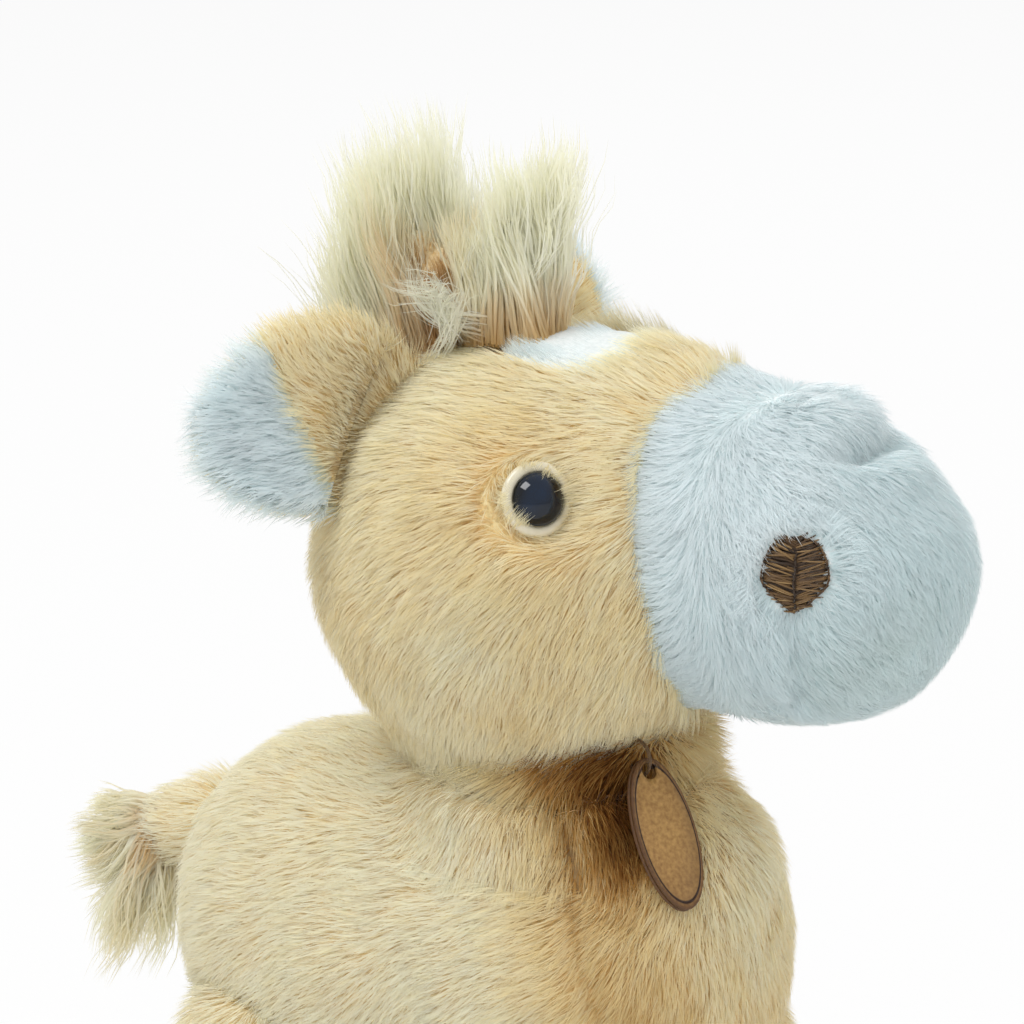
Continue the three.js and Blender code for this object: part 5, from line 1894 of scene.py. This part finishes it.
def outline(angle):
    """The rounded pentagon's radius, by the angle from its point."""
    part = (angle + PAD_CORNER / 2) % PAD_CORNER - PAD_CORNER / 2
    sharp = math.cos(PAD_CORNER / 2) / math.cos(PAD_CORNER / 2 - abs(part))
    at_point = abs((angle + math.pi) % (2 * math.pi) - math.pi) < PAD_CORNER / 2
    drop = PAD_DROP * math.cos(part / PAD_CORNER * math.pi) if at_point else 0
    return NOSTRIL_RADIUS * ((1 - PAD_ROUND) * sharp + PAD_ROUND) * (1 + drop)


def pad_width(height):
    """Half width of the outline at a height over the pad's middle."""
    best = 0.0
    for angle in np.linspace(0, math.pi, 181):
        radius = outline(angle)
        if abs(-radius * math.cos(angle) - height) < 0.25:
            best = max(best, radius * math.sin(angle))
    return best


muzzle_points, _, muzzle_triangles = surface(muzzle_skin)
muzzle_tree = BVHTree.FromPolygons(muzzle_points.tolist(), muzzle_triangles.tolist())


def on_muzzle(middle, axes, across, height, lift):
    """A point at a place of the nostril's own axes, lifted off the muzzle's hide."""
    start = middle + across * axes[0] + height * axes[1] + RAY_START * axes[2]
    hit = muzzle_tree.ray_cast(Vector(start), Vector(-axes[2]))[0]
    found = np.array(hit) if hit else start - RAY_START * axes[2]
    return found + lift * axes[2]


def stitch(middle, axes, start, end, lift, steps=7):
    """A stitch's centre line, from where it leaves the hide to where it goes in."""
    line = []
    for share in np.linspace(0, 1, steps):
        across, height = (a + (b - a) * share for a, b in zip(start, end))
        arch = lift * math.sin(math.pi * share) ** STITCH_FULLNESS
        line.append(on_muzzle(middle, axes, across, height, arch - STITCH_SINK))
    return line


# %% [markdown]
# ## Sewing
# A machine sews such a pad in four passes, and so does this cell: flat stitches right
# across, two layers of slanting fans to the spine, short stitches round the outline, and a
# row down the spine that covers the fans' ends.

# %% Nostril stitches
FLAT_STEP, FAN_STEP, OUTLINE_STEP, SPINE_STEP = THREAD * 0.8, THREAD * 0.92, 9.0, 1.5
NARROWEST = 0.6


def pad_stitches(place, rng):
    """Every stitch of a nostril, as its centre line and its tone."""
    # The flat stitches lie under the fans in a dark tone: painted shade in the gaps between fan stitches.
    for height in np.arange(-8.4, 7.4, FLAT_STEP):
        wide = pad_width(height)
        if wide > NARROWEST:
            line = stitch(*place, (-wide * 0.96, height), (wide * 0.96, height), 0.75)
            yield line, 0.1 + rng.normal(0, 0.04)
    for layer, height in itertools.product(range(2), np.arange(-7.4, 7.2, FAN_STEP)):
        wide = pad_width(height)
        for half in (-1, 1) if wide >= NARROWEST else ():
            reach = wide + rng.normal(0, 0.18)
            jitter = rng.normal(0, 0.7, 3)
            start = (half * reach, height + 0.5 + jitter[0] + 0.1 * half)
            finish = (-half * 0.7 + jitter[1] * 0.5, height - 1.3 + jitter[2])
            line = stitch(*place, start, finish, 1.0 + 0.35 * layer + rng.normal(0, 0.1))
            yield line, 0.42 + rng.normal(0, 0.22) + 0.06 * layer
    for angle, layer in itertools.product(np.radians(np.arange(0, 360, OUTLINE_STEP)), range(2)):
        near, far = angle - 0.09, angle + 0.13 + rng.normal(0, 0.03)
        ends = [(outline(a) * k * math.sin(a), -outline(a) * k * math.cos(a))
                for a, k in ((near, 0.98), (far, 1.0))]
        yield stitch(*place, *ends, 1.1 + 0.3 * layer), 0.25 + rng.normal(0, 0.12)
    for low in np.arange(-8.6, 3.0, SPINE_STEP):
        top, foot = (rng.normal(0, 0.15), low + 2.2), (rng.normal(0, 0.15), low)
        yield stitch(*place, top, foot, 1.5), 0.06


for name, side in (("right", -1), ("left", 1)):
    place = nostril_frame(side)
    rng = np.random.default_rng(900 + side)
    lines, tones = zip(*pad_stitches(place, rng))
    profile = THREAD / 2 * np.array([0.6, 0.95, 1, 1, 1, 0.95, 0.6])
    radii = [profile * rng.uniform(0.85, 1.15) for _ in lines]
    pad = tubes(f"nostril_stitches_{name}", lines, radii, tones, satin, sides=5)
    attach(pad, "head")
    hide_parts(f"nostril_{name}")
print("stitches in a nostril", len(lines))

# %% [markdown]
# ## The swing tag
# Two leaves of tan leather hang on a thread loop from the neck seam. They lean out from the
# chest at the angle that just clears it, worked out from the same few sizes as in the
# frame.

# %% Where the tag hangs
TAG_HALF_LENGTH, TAG_HALF_WIDTH, TAG_LEAF, TAG_PARTING = 17.0, 7.6, 0.9, 0.4
TAG_HOLE, TAG_MARGIN, TAG_YAW, TAG_CLEAR = 1.9, 3.0, math.radians(-26), 2.3
SEAT_AROUND, SEAT_REACH, SEAT_HEIGHT = math.radians(-35), NECK_RADIUS + 6.75, 150.4
tag_tilt = math.asin((TORSO_MIDDLE[0] + TORSO_HALF[0] - NECK_X + TAG_CLEAR - SEAT_REACH)
                     / (2 * TAG_HALF_LENGTH - TAG_MARGIN))
tag_seat = np.array([NECK_X + SEAT_REACH * math.cos(SEAT_AROUND),
                     SEAT_REACH * math.sin(SEAT_AROUND), SEAT_HEIGHT])


def turned_about(angle, axis):
    """A turn about one of the drawing's axes, as a matrix."""
    return np.array(Matrix.Rotation(angle, 3, axis))


tag_turn = turned_about(TAG_YAW, "Z") @ turned_about(-tag_tilt, "Y")
print("tag leans", round(math.degrees(tag_tilt), 1), "degrees")

# %% [markdown]
# ## Leather
# Vegetable-tanned leather is cut with a knife and its edge burnished darker, and an
# engraved line runs round inside it. Both follow the distance from the edge, which the
# leaf's map holds across. Pores mottle the whole of it.

# %% Leather
leather, tree, shader, _, mottle = mottled(
    "tan_vegetable_leather", 0.9, 5.0, [(0.3, "#c8bcae"), (0.7, "#ffffff")],
    roughness=(0.45, 0.65), relief=(0.12, 0.5), IOR=1.5, Coat_Weight=0.1, Coat_Roughness=0.4)
edge = add_node(tree, "ValToRGB", sockets={"Fac": own_map(tree)["X"]})
set_ramp(edge, [(0.0, "#5c3a1b"), (0.09, "#8a6536"), (0.112, "#3c220f"), (0.15, "#3c220f"),
                (0.17, "#a88047"), (1.0, "#b88f52")])
tinted = add_node(tree, "Mix", {"data_type": "RGBA", "blend_type": "MULTIPLY"}, {
    "Factor": 1.0, 6: edge.outputs["Color"], 7: mottle})
tree.links.new(tinted.outputs[2], shader.inputs["Base Color"])

# %% [markdown]
# ## The tag's leaves
# A leaf is lofted from its edge to its hole over both faces, so the engraved line and the
# rounded edge are real relief, which a bump can't give an outline.

# %% Tag leaves
LEAF_SIDES, MAP_REACH = 120, 12
RELIEF = [(0.0, 0.35), (0.08, 0.12), (0.3, 0.0), (1.3, 0.0), (1.45, 0.22), (1.7, 0.22), (1.85, 0.0)]
INNER = [(0.5, 0.0), (0.25, 0.0), (0.06, 0.0), (0.0, 0.12)]


def leaf_lines():
    """Closed lines from the leaf's edge to its hole, each with its depth below the face."""
    angles = full_turn(LEAF_SIDES)
    rim = np.stack([TAG_HALF_WIDTH * np.sin(angles),
                    TAG_MARGIN - TAG_HALF_LENGTH - TAG_HALF_LENGTH * np.cos(angles)], 1)
    hole = unit(rim) * TAG_HOLE
    inward = unit(hole - rim)
    length = length_of(hole - rim)
    lines = [(rim + inward * np.minimum(inset, length * 0.6)[:, None], depth)
             for inset, depth in RELIEF]
    lines += [(hole + (rim - hole) * share, depth) for share, depth in INNER]
    return lines, rim


def tag_leaf(name, low, high, body, node):
    """A leather leaf between two depths along the tag's own x, with relief on both faces."""
    lines, rim = leaf_lines()
    thick = min(1, high - low)
    rings = [np.column_stack([np.full(LEAF_SIDES, high - depth * thick), line])
             for line, depth in lines]
    rings += [np.column_stack([np.full(LEAF_SIDES, low + depth * thick), line])
              for line, depth in lines[::-1]]
    rings = np.array(rings)
    points = rings.reshape(-1, 3) @ tag_turn.T + tag_seat
    piece = new_piece(name, points, ring_faces(len(rings), LEAF_SIDES, closed=True), leather)
    from_edge = length_of(rings[:, :, 1:] - rim).ravel()
    number = np.arange(len(points))
    around = number % LEAF_SIDES / LEAF_SIDES * 0.4 + 0.05 + 0.5 * (number >= len(number) / 2)
    set_map(piece.data, np.stack([np.clip(from_edge / MAP_REACH, 0.01, 0.99), around], 1))
    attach(piece, body)
    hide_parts(node)
    return piece


tag_leaf("tag_leather_front", TAG_PARTING / 2, TAG_PARTING / 2 + TAG_LEAF, "tag_front", "tag_leaf_front")
tag_leaf("tag_leather_back", -TAG_PARTING / 2 - TAG_LEAF, -TAG_PARTING / 2, "tag", "tag_leaf_back")

# %% [markdown]
# ## The tag's loop
# The loop is a ring of three plies that wind round each other. Each ply is a tube along a
# helix that is bent into the ring, in the brown thread of the nostrils.

# %% Thread loop
LOOP_RADIUS, LOOP_LEAN, LOOP_STEPS = 3.8, math.radians(48), 73
PLIES, PLY_RADIUS, PLY_REACH, PLY_TURNS = 3, 0.24, 0.2, 14
angles = np.linspace(0, 2 * math.pi, LOOP_STEPS)
plies = []
for ply in range(PLIES):
    twist = angles * PLY_TURNS + ply * 2 * math.pi / PLIES
    reach = LOOP_RADIUS + PLY_REACH * np.cos(twist)
    circle = np.stack([reach * np.sin(angles), PLY_REACH * np.sin(twist),
                       LOOP_RADIUS - reach * np.cos(angles)], 1)
    circle = circle @ turned_about(tag_tilt - LOOP_LEAN, "Y").T
    plies.append(circle @ tag_turn.T + tag_seat)
loop = tubes("tag_thread_loop", plies, np.full((PLIES, LOOP_STEPS), PLY_RADIUS),
             [0.35, 0.45, 0.4], satin, sides=8)
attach(loop, "neck")
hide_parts("tag_loop")

# %% [markdown]
# ## Slots of the record
# The part's record names its materials by slot. This table lists, for each slot, the
# materials that belong to it.

# %% Slots of the record
WORN_BY_SLOT = {
    "plush_tan": ("tan_polyester_pile", "tan_knitted_backing", "tan_backing_painted_shade"),
    "plush_white": ("white_polyester_pile", "white_knitted_backing"),
    "plush_cream": ("cream_long_pile", "cream_knitted_backing", "cream_matted_underfur"),
    "suede": ("brown_brushed_suede",),
    "eye_ring_plastic": ("cream_moulded_abs",),
    "eye_dome_plastic": ("navy_polished_acrylic",),
    "washer_plastic": ("white_moulded_nylon",),
    "satin_thread": ("brown_satin_thread",),
    "tag_leather": ("tan_vegetable_leather",),
}
SLOTS = {material: slot for slot, worn in WORN_BY_SLOT.items() for material in worn}
